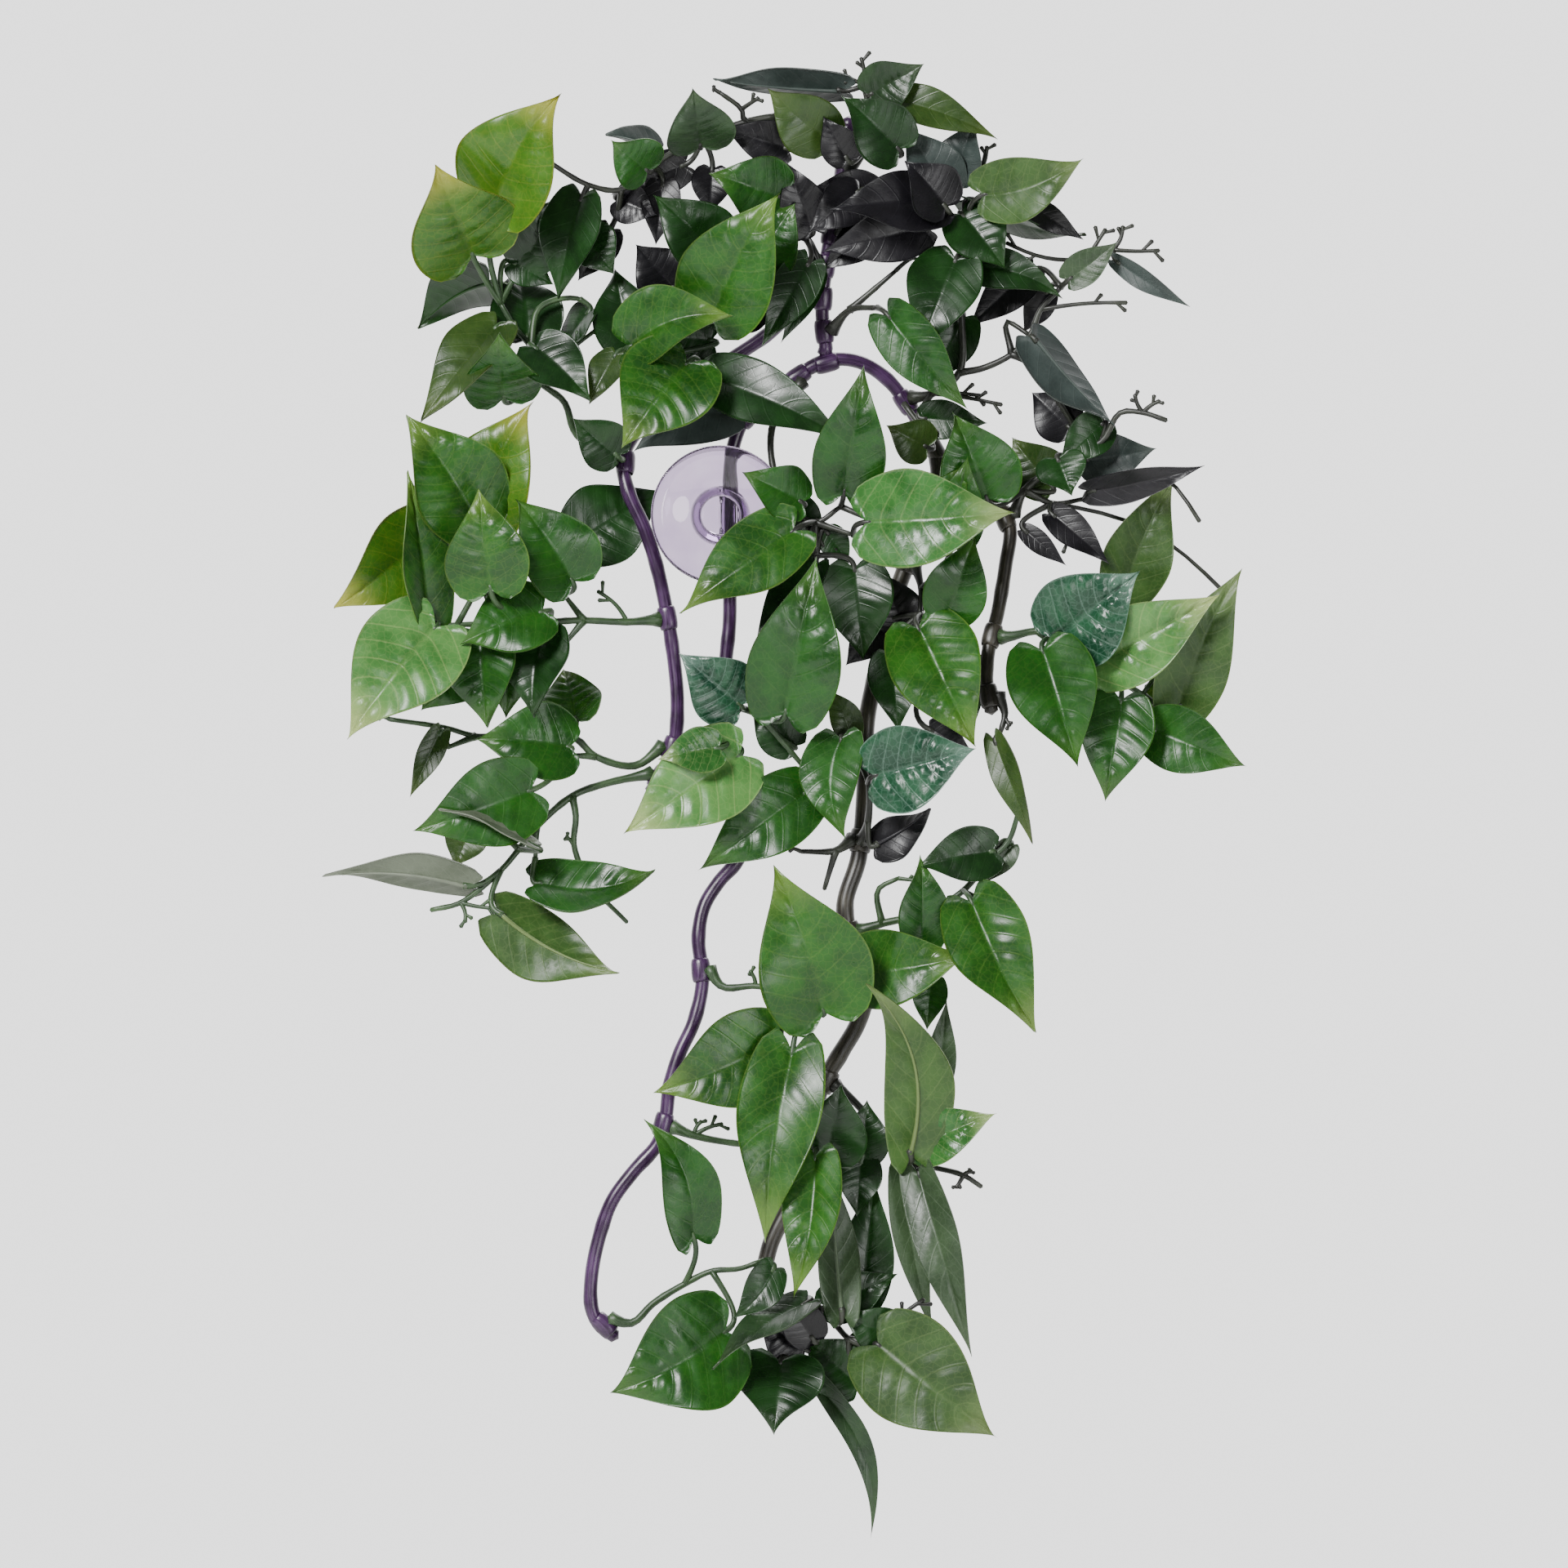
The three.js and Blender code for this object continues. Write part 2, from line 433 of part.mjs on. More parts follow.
      [5, 11.7, -5, -114, -14.4, -10, -124.7, 18.5, 0, 12, 0.1, 0.02],
      [4, 15.6, -8, -115.9, 9.8, -12, -157, 18, 0, 12, 0.12, 0.03],
    ],
    twigs: [[2, 6.5, -2, -98.5]],
  },
  lower_middle_spray: {
    vine: "centre_vine",
    points: [
      [-12.2, -2, -133], [-5.6, -2, -134.1], [4.1, -1, -135.9], [13.8, 0, -136.5], [20.5, -1, -138.5],
    ],
    stems: [[0, 1, 2, 3, 4]],
    leaves: [
      [4, 23.5, -2, -138.3, 26.1, -7, -122.6, 15, 0, 10, 0.1, 0],
      [4, 20.5, -9, -138.5, 15.9, -14, -168.7, 13.5, 15, 16, 0.08, -0.06],
      [4, 30.8, 3, -139, 31.8, 2, -126.5, 11, 0, 12, 0.06, 0],
    ],
    twigs: [[1, -4, -2, -131], [1, 0.5, -2, -131.6]],
  },
  arched_spray: {
    vine: "right_vine",
    points: [
      [22.4, 9.4, -123], [30, 7, -128], [35.8, 5, -135.9], [39.6, 3, -139.8], [46.4, 3, -141.2],
      [52.6, 2, -142.8], [56.5, 2, -145.3],
    ],
    stems: [[0, 1, 2, 3, 4, 5, 6]],
    leaves: [
      [3, 41.1, -4, -138, 31.3, -15, -101, 17, 165, 12, 0.08, -0.13],
      [3, 42.4, 0, -136.6, 59.8, -4, -129.2, 11.5, -10, 12, 0.1, 0],
      [2, 47.3, 5, -123.5, 49, 5, -104.8, 6.5, 0, 14, 0.06, 0],
      [4, 43, 0, -142.5, 54.3, -4, -181.8, 12, 20, 16, 0.08, -0.03],
      [3, 39.8, 4, -142.5, 46.2, 4, -177.5, 8, 0, 16, 0.06, 0.03],
    ],
    twigs: [[5, 51, 2, -145.5], [5, 54.5, 2, -142]],
  },
  left_end_spray: {
    vine: "centre_vine",
    points: [
      [-24, -4, -176.6], [-18.9, -5, -174.4], [-14.5, -5, -170.3], [-7.6, -5, -166], [-1.8, -6, -163.2],
      [4.1, -6, -162.7], [9, -6, -161],
    ],
    stems: [[0, 1, 2, 3, 4, 5, 6]],
    leaves: [
      [3, -5.8, -8, -155.6, -16.4, -10, -130.2, 13, 10, 14, 0.08, 0.12],
      [4, 1.1, -9, -175, -23.6, -15, -188.5, 23, 0, 12, 0.12, -0.05],
      [6, 11.5, -8, -162.5, 2.8, -9, -173.3, 8.5, 0, 12, 0.08, -0.08],
    ],
    twigs: [],
  },
  right_end_spray: {
    vine: "right_vine",
    points: [
      [12.4, 8, -176.6], [18.2, 4, -169.4], [24.4, 3, -174.6], [27.9, 1, -178.2], [33.5, -3, -180.3],
      [12, 2, -181], [16, 3, -183], [19.9, 3, -187.1],
    ],
    stems: [[0, 1, 2, 3, 4], [0, 5, 6, 7]],
    leaves: [
      [6, 13, -2, -183, 11.7, -11, -197.6, 17, 0, 10, 0.1, 0],
      [1, 18.2, -5, -170.5, -1.7, -19, -183.7, 10, 50, 12, 0.06, 0],
      [7, 20.8, 2, -188.5, 32.5, 1, -221.4, 7, 0, 20, 0.05, -0.14],
      [4, 34.1, -6, -179.1, 59.7, -11, -198.9, 23, 0, 12, 0.1, 0],
      [4, 29.7, 3, -188, 18.2, 4, -177.9, 14, 0, 10, 0.06, 0],
      [3, 38.1, -1, -178, 26.1, -3, -172.6, 11, 0, 12, 0.08, 0],
      [2, 23, 2, -171, 38.5, 2, -164.1, 10.5, 0, 12, 0.08, 0],
      [2, 26.3, -5, -172, 24, -5, -139.5, 9.5, 165, 14, 0.08, 0.03],
      [2, 30.6, 3, -169.4, 33.5, 5, -143, 12, 0, 12, 0.06, 0],
      [0, 18.2, 2, -180.3, 8.2, 0, -173.3, 12, 0, 12, 0.06, 0],
    ],
    twigs: [[4, 44, -2, -169.5]],
  },
};

const vec = (p) => new THREE.Vector3(p[0], p[1], p[2]);
const radians = THREE.MathUtils.degToRad;

// One closed solid from any closed geometry.
function solid(geometry) {
  geometry.deleteAttribute("normal");
  geometry.deleteAttribute("uv");
  const merged = mergeVertices(geometry, 1e-4);
  return new wasm.Manifold(
    new wasm.Mesh({
      numProp: 3,
      vertProperties: merged.attributes.position.array,
      triVerts: new Uint32Array(merged.index.array),
    }),
  );
}

// A rod of even thickness along a curve.
function rod(curve, radius, sides, steps) {
  const section = new THREE.Shape();
  for (let i = 0; i < sides; i++) {
    const angle = (2 * Math.PI * i) / sides;
    section[i ? "lineTo" : "moveTo"](radius * Math.cos(angle), radius * Math.sin(angle));
  }
  return solid(
    new THREE.ExtrudeGeometry(section, { steps, extrudePath: curve, bevelEnabled: false }),
  );
}

// A rod with a section exactly at each of its points.
function rodThrough(route, radius, sides) {
  const curve = new THREE.CatmullRomCurve3(route, false, "centripetal");
  curve.getPointAt = curve.getPoint;
  curve.getTangentAt = curve.getTangent;
  return rod(curve, radius, sides, route.length - 1);
}

// Half the blade's width at v, from 0 at the base to 1 at the tip, as a share of its greatest.
function halfWidth(v) {
  if (v < WIDEST_AT) {
    const back = 1 - v / WIDEST_AT;
    return SHOULDER + (1 - SHOULDER) * Math.sqrt(1 - back * back);
  }
  return Math.cos((Math.PI / 2) * Math.min(1, (v - WIDEST_AT) / (1 - WIDEST_AT))) ** TIP_TAPER;
}

// The leaf's own axes: along it, out of its upper face, and to its right.
function leafAxes(base, tip, roll) {
  const along = tip.clone().sub(base).normalize();
  const face = new THREE.Vector3(0, -1, 0);
  face.addScaledVector(along, -face.dot(along)).normalize();
  face.applyAxisAngle(along, radians(roll));
  return { along, face, side: along.clone().cross(face) };
}

// A heart-shaped blade with its stalk, in one closed surface. The blade is two faces of the same
// triangles and a rim, and its base opens in the middle into the four sides of the stalk.
function leafSolid(from, leaf) {
  const [, bx, by, bz, tx, ty, tz, width, roll, fold, bow, sweep] = leaf;
  const base = vec([bx, by, bz]);
  const tip = vec([tx, ty, tz]);
  const size = base.distanceTo(tip);
  const { along, face, side } = leafAxes(base, tip, roll);
  const tilt = radians(fold);
  const rows = size > LONG_LEAF ? LONG_LEAF_ROWS : size > SMALL_LEAF ? LEAF_ROWS : SMALL_LEAF_ROWS;
  const middle = [];
  for (const v of rows) {
    const arch = 4 * v * (1 - v);
    const reach = (width / 2) * halfWidth(v);
    const back = v < WIDEST_AT ? LOBE_REACH * (1 - v / WIDEST_AT) ** 2 : 0;
    for (const s of v < 1 ? [-1, 0, 1] : [0]) {
      middle.push(
        base.clone()
          .addScaledVector(along, size * (v - back * Math.abs(s)))
          .addScaledVector(side, s * reach * Math.cos(tilt) + sweep * size * arch)
          .addScaledVector(face, Math.abs(s) * reach * Math.sin(tilt) + bow * size * arch),
      );
    }
  }
  const faces = [];
  const rim = [];
  for (let r = 0; r < rows.length - 2; r++) {
    const a = 3 * r;
    const b = a + 3;
    faces.push([a, a + 1, b + 1], [a, b + 1, b], [a + 1, a + 2, b + 1], [a + 2, b + 2, b + 1]);
    rim.push([b, a], [a + 2, b + 2]);
  }
  const point = middle.length - 1;
  const last = point - 3;
  faces.push([last, last + 1, point], [last + 1, last + 2, point]);
  rim.push([point, last], [last + 2, point]);

  const half = BLADE_THICKNESS / 2;
  const upper = middle.map((p) => p.clone().addScaledVector(face, half));
  const lower = middle.map((p) => p.clone().addScaledVector(face, -half));
  const corners = [];
  for (const [a, b, c] of faces) {
    corners.push(upper[a], upper[b], upper[c], lower[a], lower[c], lower[b]);
  }
  for (const [a, b] of rim) {
    corners.push(upper[a], lower[a], lower[b], upper[a], lower[b], upper[b]);
  }

  const ends = [0, 2].map((i) => middle[i].clone().sub(middle[1]).setLength(STALK_RADIUS).add(middle[1]));
  const [left, right] = ends;
  corners.push(upper[0], lower[0], left, lower[0], lower[1], left, upper[0], left, upper[1]);
  corners.push(right, lower[1], lower[2], right, lower[2], upper[2], right, upper[2], upper[1]);

  const gap = from.distanceTo(base);
  const near = base.clone().addScaledVector(along, -0.35 * gap);
  const far = from.clone().lerp(near, 0.6);
  const route = new THREE.CubicBezierCurve3(base, near, far, from);
  const steps = gap > 16 ? 3 : gap > 7 ? 2 : 1;
  const heading = along.clone().negate();
  const turn = new THREE.Quaternion();
  const across = [face.clone(), side.clone()];
  let ring = [upper[1], right, lower[1], left];
  for (let i = 1; i <= steps; i++) {
    const way = route.getTangent(i / steps);
    turn.setFromUnitVectors(heading, way);
    heading.copy(way);
    across.forEach((axis) => axis.applyQuaternion(turn));
    const centre = route.getPoint(i / steps);
    const next = [[1, 0], [0, 1], [-1, 0], [0, -1]].map(([f, r]) =>
      centre.clone()
        .addScaledVector(across[0], f * STALK_RADIUS)
        .addScaledVector(across[1], r * STALK_RADIUS),
    );
    for (let k = 0; k < 4; k++) {
      const j = (k + 1) % 4;
      corners.push(ring[k], next[k], ring[j], ring[j], next[k], next[j]);
    }
    ring = next;
  }
  corners.push(ring[0], ring[3], ring[2], ring[0], ring[2], ring[1]);
  return solid(new THREE.BufferGeometry().setFromPoints(corners));
}

const curves = {};
for (const [name, vine] of Object.entries(VINES)) {
  curves[name] = new THREE.CatmullRomCurve3(vine.route.map(vec), false, "centripetal");
}

const vineSteps = (name) => Math.round(curves[name].getLength() / VINE_STEP);

// A straight length of a vine: the one whose middle is nearest to a place.
function straightPart(name, place) {
  const stations = curves[name].getSpacedPoints(vineSteps(name));
  const parts = stations.slice(1).map((end, i) => ({
    centre: end.clone().lerp(stations[i], 0.5),
    way: end.clone().sub(stations[i]).normalize(),
  }));
  return parts.sort((p, q) => p.centre.distanceTo(place) - q.centre.distanceTo(place))[0];
}

// A straight rod from one distance to another along a line.
function straightRod(centre, way, from, to, radius) {
  const ends = [from, to].map((k) => centre.clone().addScaledVector(way, k));
  return rod(new THREE.LineCurve3(ends[0], ends[1]), radius, VINE_SIDES, 1);
}

// The short sleeve by which a piece sits on a vine: its body, its bore, and the middle of its
// wall in one direction.
function sleeve(name, place) {
  const { centre, way } = straightPart(name, place);
  const radius = VINES[name].radius;
  const half = SLEEVE_LENGTH / 2;
  const body = straightRod(centre, way, -half, half, radius + SLEEVE_WALL);
  const bore = straightRod(centre, way, -half - 1, half + 1, radius + RUNNING_GAP);
  const wall = (towards) => {
    const out = towards.clone().sub(centre);
    out.addScaledVector(way, -out.dot(way)).normalize();
    return centre.clone().addScaledVector(out, radius + 0.65 * SLEEVE_WALL);
  };
  return { body, bore, wall };
}

function spraySolid(spray) {
  const points = spray.points.map(vec);
  const { body: ring, bore, wall } = sleeve(spray.vine, points[0]);
  const start = (index, next) => (index === 0 ? wall(next) : points[index]);
  let body = ring;
  for (const stem of spray.stems) {
    const route = stem.map((index, i) => start(index, points[stem[i + 1] ?? index]));
    body = body.add(rodThrough(route, STEM_RADIUS, 4));
  }
  for (const leaf of spray.leaves) {
    body = body.add(leafSolid(start(leaf[0], vec(leaf.slice(1, 4))), leaf));
  }
  for (const [index, x, y, z] of spray.twigs) {
    const end = vec([x, y, z]);
    body = body.add(rod(new THREE.LineCurve3(start(index, end), end), TWIG_RADIUS, 4, 1));
  }
  return body.subtract(bore);
}

// A vine stem, with the sleeve that sits on the stem it springs from, or the socket that the
// foot of the arched stem is pushed into.
function vineSolid(name) {
  const { radius, held, plugged } = VINES[name];
  const body = rod(curves[name], radius, VINE_SIDES, vineSteps(name));
  if (held) {
    const { body: ring, bore } = sleeve(held.by, vec(held.at));
    return body.add(ring).subtract(bore);
  }
  if (plugged) {
    const foot = curves[plugged].getPointAt(0);
    const way = straightPart(plugged, foot).way;
    const around = VINES[plugged].radius;
    const socket = straightRod(foot, way, SOCKET_DEPTH - SOCKET_LENGTH, SOCKET_DEPTH, around + SLEEVE_WALL);
    const room = straightRod(foot, way, -SOCKET_FLOOR_GAP, SOCKET_DEPTH + 1, around + RUNNING_GAP);
    return body.add(socket).subtract(room);
  }
  return body;
}

// The cup is turned about the Y axis: a shallow hollow in front, a neck and a bored knob behind.
function cupSolid() {
  const profile = [
    [0, CUP_HOLLOW_DEPTH], [0.55 * CUP_LIP_INNER_RADIUS, 0.82 * CUP_HOLLOW_DEPTH],
    [0.85 * CUP_LIP_INNER_RADIUS, 0.45 * CUP_HOLLOW_DEPTH], [CUP_LIP_INNER_RADIUS, 0],
    [CUP_RADIUS, 0], [CUP_RADIUS, 0.9], [0.86 * CUP_RADIUS, 2], [0.5 * CUP_RADIUS, 4.2],
    [4.2, 5.8], [CUP_KNOB_RADIUS, CUP_KNOB_START],
    [CUP_KNOB_RADIUS, CUP_KNOB_END - 0.9], [CUP_KNOB_RADIUS - 0.9, CUP_KNOB_END], [0, CUP_KNOB_END],
  ];
  const points = profile.map(([r, y]) => new THREE.Vector2(r, y));
  const turned = solid(new THREE.LatheGeometry(points, CUP_SIDES));
  const room = rod(curves.centre_vine, VINE_RADIUS + RUNNING_GAP, VINE_SIDES, vineSteps("centre_vine"));
  return turned.subtract(room);
}

// A mesh of a solid, with the needless points on its flat faces taken out.
function mesh(name, body, material) {
  const { vertProperties, triVerts } = body.asOriginal().simplify(FLATNESS).getMesh();
  const geometry = new THREE.BufferGeometry();
  geometry.setAttribute("position", new THREE.BufferAttribute(new Float32Array(vertProperties), 3));
  geometry.setIndex(new THREE.BufferAttribute(new Uint32Array(triVerts), 1));
  geometry.computeVertexNormals();
  const made = new THREE.Mesh(geometry, material);
  made.name = name;
  return made;
}

const plastic = (color, roughness) => new THREE.MeshStandardMaterial({ color, roughness, metalness: 0 });

const plant = new THREE.Group();
plant.name = "hanging_vine";
const cupMaterial = plastic(CLEAR_CUP, 0.25);
cupMaterial.transparent = true;
cupMaterial.opacity = 0.6;
plant.add(mesh("suction_cup", cupSolid(), cupMaterial));
for (const [name, vine] of Object.entries(VINES)) {
  plant.add(mesh(name, vineSolid(name), plastic(vine.colour, 0.5)));
}
for (const [name, spray] of Object.entries(SPRAYS)) {
  plant.add(mesh(name, spraySolid(spray), plastic(LEAF_GREEN, 0.35)));
}

export default plant;
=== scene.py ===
# %% [markdown]
# # An artificial hanging philodendron vine on a clear suction cup
# The real thing is a spray of moulded heart-shaped leaves on bendable stems, about 320 mm tall. An
# arched stem runs through the knob of a suction cup, and the cup sticks to a pane of glass.
# This script dresses a plain model of it: every stem, leafy spray and the cup already has a rough
# solid in the right place, and each one is replaced here by a finer piece of the same form.
#
# We begin by loading that model, and we keep its box, because the finer pieces may not outgrow it.

# %% Load the plain model
import math
import random

import bpy
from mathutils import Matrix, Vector


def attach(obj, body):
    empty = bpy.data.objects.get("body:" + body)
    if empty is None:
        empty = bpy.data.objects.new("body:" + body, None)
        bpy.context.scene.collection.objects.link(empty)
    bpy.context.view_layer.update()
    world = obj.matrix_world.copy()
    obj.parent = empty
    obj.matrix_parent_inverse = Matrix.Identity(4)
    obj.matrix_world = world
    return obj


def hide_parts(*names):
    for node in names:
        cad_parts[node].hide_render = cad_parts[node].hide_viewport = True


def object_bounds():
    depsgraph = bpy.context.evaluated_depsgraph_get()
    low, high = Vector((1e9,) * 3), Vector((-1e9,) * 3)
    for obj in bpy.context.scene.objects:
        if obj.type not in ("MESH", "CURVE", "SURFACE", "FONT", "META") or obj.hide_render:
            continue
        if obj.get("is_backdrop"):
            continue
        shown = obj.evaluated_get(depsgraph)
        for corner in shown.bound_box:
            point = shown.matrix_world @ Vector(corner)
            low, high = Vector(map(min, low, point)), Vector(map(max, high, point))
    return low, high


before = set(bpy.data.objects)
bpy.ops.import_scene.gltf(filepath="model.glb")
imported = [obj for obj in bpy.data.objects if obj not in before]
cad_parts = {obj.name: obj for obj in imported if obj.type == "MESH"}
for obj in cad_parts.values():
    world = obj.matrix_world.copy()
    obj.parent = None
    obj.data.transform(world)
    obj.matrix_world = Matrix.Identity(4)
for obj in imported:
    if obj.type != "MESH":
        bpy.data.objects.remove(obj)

plain_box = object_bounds()
print("nodes in the plain model:", len(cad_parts))

# %% [markdown]
# ## The camera
# The picture was taken level and straight from the front, from far enough away that near and far
# leaves have the same scale. A long lens from 2.5 m gives that. A square of 338.8 mm at the vine
# fills the frame, and its middle is 13.8 mm right of the cup and 58.2 mm below it.

# %% Camera
MM = 0.001
CAMERA_DISTANCE = 2500 * MM
SEEN_SQUARE = 338.8 * MM
SEEN_MIDDLE = (13.8 * MM, -58.2 * MM)


def add_object(name, data):
    """A new object in the scene, at the origin."""
    thing = bpy.data.objects.new(name, data)
    bpy.context.scene.collection.objects.link(thing)
    return thing


lens = bpy.data.cameras.new("front_camera")
lens.sensor_width = 36
lens.lens = lens.sensor_width * CAMERA_DISTANCE / SEEN_SQUARE
lens.clip_end = 20
camera = add_object("front_camera", lens)
camera.location = (SEEN_MIDDLE[0], -CAMERA_DISTANCE, SEEN_MIDDLE[1])
camera.rotation_euler = (math.radians(90), 0, 0)
bpy.context.scene.camera = camera
print("focal length in mm:", round(lens.lens))

# %% [markdown]
# ## Two helpers for finishes
# Colours are easiest to choose as the hex numbers of a paint program, which are sRGB. Blender's
# shaders count light, so one function turns hex into linear numbers. A second one adds a node,
# sets it up and links it in one line, which keeps each finish short enough to read as a recipe.

# %% Colour and node helpers
def colour(hex_code):
    """Linear RGBA for an sRGB hex code."""
    shares = [int(hex_code[i:i + 2], 16) / 255 for i in (1, 3, 5)]
    return [c / 12.92 if c <= 0.04045 else ((c + 0.055) / 1.055) ** 2.4 for c in shares] + [1]


def add_node(tree, kind, inputs=None, **settings):
    """One node with its settings; each input is a number, a colour or another node's output."""
    node = tree.nodes.new(kind)
    for name, value in settings.items():
        setattr(node, name, value)
    for name, value in (inputs or {}).items():
        if isinstance(value, bpy.types.NodeSocket):
            tree.links.new(value, node.inputs[name])
        else:
            node.inputs[name].default_value = value
    return node


def new_finish(name):
    """An empty node material and its shader."""
    finish = bpy.data.materials.new(name)
    finish.use_nodes = True
    return finish, finish.node_tree, finish.node_tree.nodes["Principled BSDF"]


print("leaf green in linear light:", [round(c, 3) for c in colour("#3f7a2c")])

# %% [markdown]
# ## Moulded leaf film
# The leaves are soft polyethylene, pressed with a veined steel die and then tinted by hand. What
# the eye gets is a satin sheen that breaks up over the quilted panels, a paler midrib and side
# veins, a thin pale margin, a yellowish tip, and on every leaf a slightly different green.
#
# An image could hold that, but the pattern would then be stuck to one leaf. Here each leaf brings
# its own coordinates instead: how far across and along the blade a point is, which side vein it
# lies near, and one random number. The finish draws the veins from those, so it fits every leaf.
# Polyethylene has an index of refraction of 1.51. The net of fine veins has cells of 1.5 mm, and
# the hand tinting drifts over about 7 mm. The bluish and the palest leaves came out of the die
# with deeper panels, so their puffs are drawn up to twice as high, and the dark ones are flatter.

# %% Leaf finish
POLYETHYLENE_IOR = 1.51
VEIN_NET_CELL = 1.5
TINT_DRIFT = 7.0
LEAF_TO_LEAF = 0.35
NET_STRENGTH = 0.06
NET_RELIEF = 0.2
RELIEF_DEPTH = 0.12


def moulded_leaf(name, face, deep, margin, roughness, vein_strength=0.05, tip_strength=0.3):
    """A leaf green: tint between deep and face, with veins, margin and tip in the margin's colour."""
    finish, tree, shader = new_finish(name)
    # What the leaf brings along: across and along the blade, the side vein, the random number.
    place = add_node(tree, "ShaderNodeUVMap", uv_map="blade").outputs[0]
    place = add_node(tree, "ShaderNodeSeparateXYZ", {0: place}).outputs
    across, along = place[0], place[1]
    veins = add_node(tree, "ShaderNodeUVMap", uv_map="veins").outputs[0]
    veins = add_node(tree, "ShaderNodeSeparateXYZ", {0: veins}).outputs
    count, chance = veins[0], veins[1]
    where = add_node(tree, "ShaderNodeNewGeometry").outputs["Position"]

    # Slow drift of the tint, and the net of fine veins.
    drift = add_node(tree, "ShaderNodeTexNoise", {
        "Vector": where, "Scale": 1 / (TINT_DRIFT * MM), "Detail": 3, "Roughness": 0.55,
    }).outputs[0]
    net = add_node(tree, "ShaderNodeTexVoronoi", {
        "Vector": where, "Scale": 1 / (VEIN_NET_CELL * MM),
    }, feature="DISTANCE_TO_EDGE").outputs["Distance"]
    net_line = add_node(tree, "ShaderNodeMapRange", {
        "Value": net, "From Min": 0.0, "From Max": 0.11, "To Min": 1, "To Max": 0,
    }, interpolation_type="SMOOTHSTEP").outputs[0]

    # Side veins lie where the count is whole, the midrib where across is nearly zero.
    turn = add_node(tree, "ShaderNodeMath", {0: count}, operation="FRACT").outputs[0]
    off = add_node(tree, "ShaderNodeMath", {0: turn, 1: 0.5}, operation="SUBTRACT").outputs[0]
    off = add_node(tree, "ShaderNodeMath", {0: off}, operation="ABSOLUTE").outputs[0]
    side_vein = add_node(tree, "ShaderNodeMapRange", {
        "Value": off, "From Min": 0.42, "From Max": 0.5,
    }, interpolation_type="SMOOTHSTEP").outputs[0]
    midrib = add_node(tree, "ShaderNodeMapRange", {
        "Value": across, "From Min": 0.015, "From Max": 0.1, "To Min": 0.3, "To Max": 0,
    }, interpolation_type="SMOOTHSTEP").outputs[0]
    lines = add_node(tree, "ShaderNodeMath", {0: side_vein, 1: midrib}, operation="MAXIMUM").outputs[0]

    # The green itself.
    tint = add_node(tree, "ShaderNodeMapRange", {
        "Value": drift, "From Min": 0.34, "From Max": 0.66,
    }, interpolation_type="SMOOTHSTEP").outputs[0]
    tint = add_node(tree, "ShaderNodeMix", {0: LEAF_TO_LEAF, 2: tint, 3: chance}).outputs[0]
    ground = add_node(tree, "ShaderNodeMix", {
        0: tint, 6: colour(deep), 7: colour(face),
    }, data_type="RGBA").outputs[2]

    # Veins and net, the pale margin and the yellowish tip: each blends in some of the margin's colour.
    vein_share = add_node(tree, "ShaderNodeMath", {0: lines, 1: vein_strength}, operation="MULTIPLY")
    net_share = add_node(tree, "ShaderNodeMath", {0: net_line, 1: NET_STRENGTH}, operation="MULTIPLY")
    edge = add_node(tree, "ShaderNodeMapRange", {
        "Value": across, "From Min": 0.95, "From Max": 1.0, "To Max": 0.25,
    }, interpolation_type="SMOOTHSTEP").outputs[0]
    tip = add_node(tree, "ShaderNodeMapRange", {
        "Value": along, "From Min": 0.6, "From Max": 1.02, "To Max": tip_strength,
    }, interpolation_type="SMOOTHSTEP").outputs[0]
    worn = add_node(tree, "ShaderNodeMath", {0: edge, 1: tip}, operation="MAXIMUM").outputs[0]
    skin = ground
    for share in (vein_share.outputs[0], net_share.outputs[0], worn):
        skin = add_node(tree, "ShaderNodeMix", {
            0: share, 6: skin, 7: colour(margin),
        }, data_type="RGBA").outputs[2]

    # Sheen that varies with the tint, and veins pressed a little into the skin.
    gloss = add_node(tree, "ShaderNodeMapRange", {
        "Value": drift, "From Min": 0.3, "From Max": 0.7,
        "To Min": roughness - 0.06, "To Max": roughness + 0.08,
    }).outputs[0]
    relief = add_node(tree, "ShaderNodeMath", {
        0: net_line, 1: NET_RELIEF, 2: lines,
    }, operation="MULTIPLY_ADD")
    dents = add_node(tree, "ShaderNodeBump", {
        "Height": relief.outputs[0], "Strength": 0.25, "Distance": RELIEF_DEPTH * MM,
    }, invert=True).outputs[0]
    tree.links.new(skin, shader.inputs["Base Color"])
    tree.links.new(gloss, shader.inputs["Roughness"])
    tree.links.new(dents, shader.inputs["Normal"])
    shader.inputs["IOR"].default_value = POLYETHYLENE_IOR
    shader.inputs["Specular IOR Level"].default_value = 0.38
    finish.diffuse_color = colour(face)
    return finish


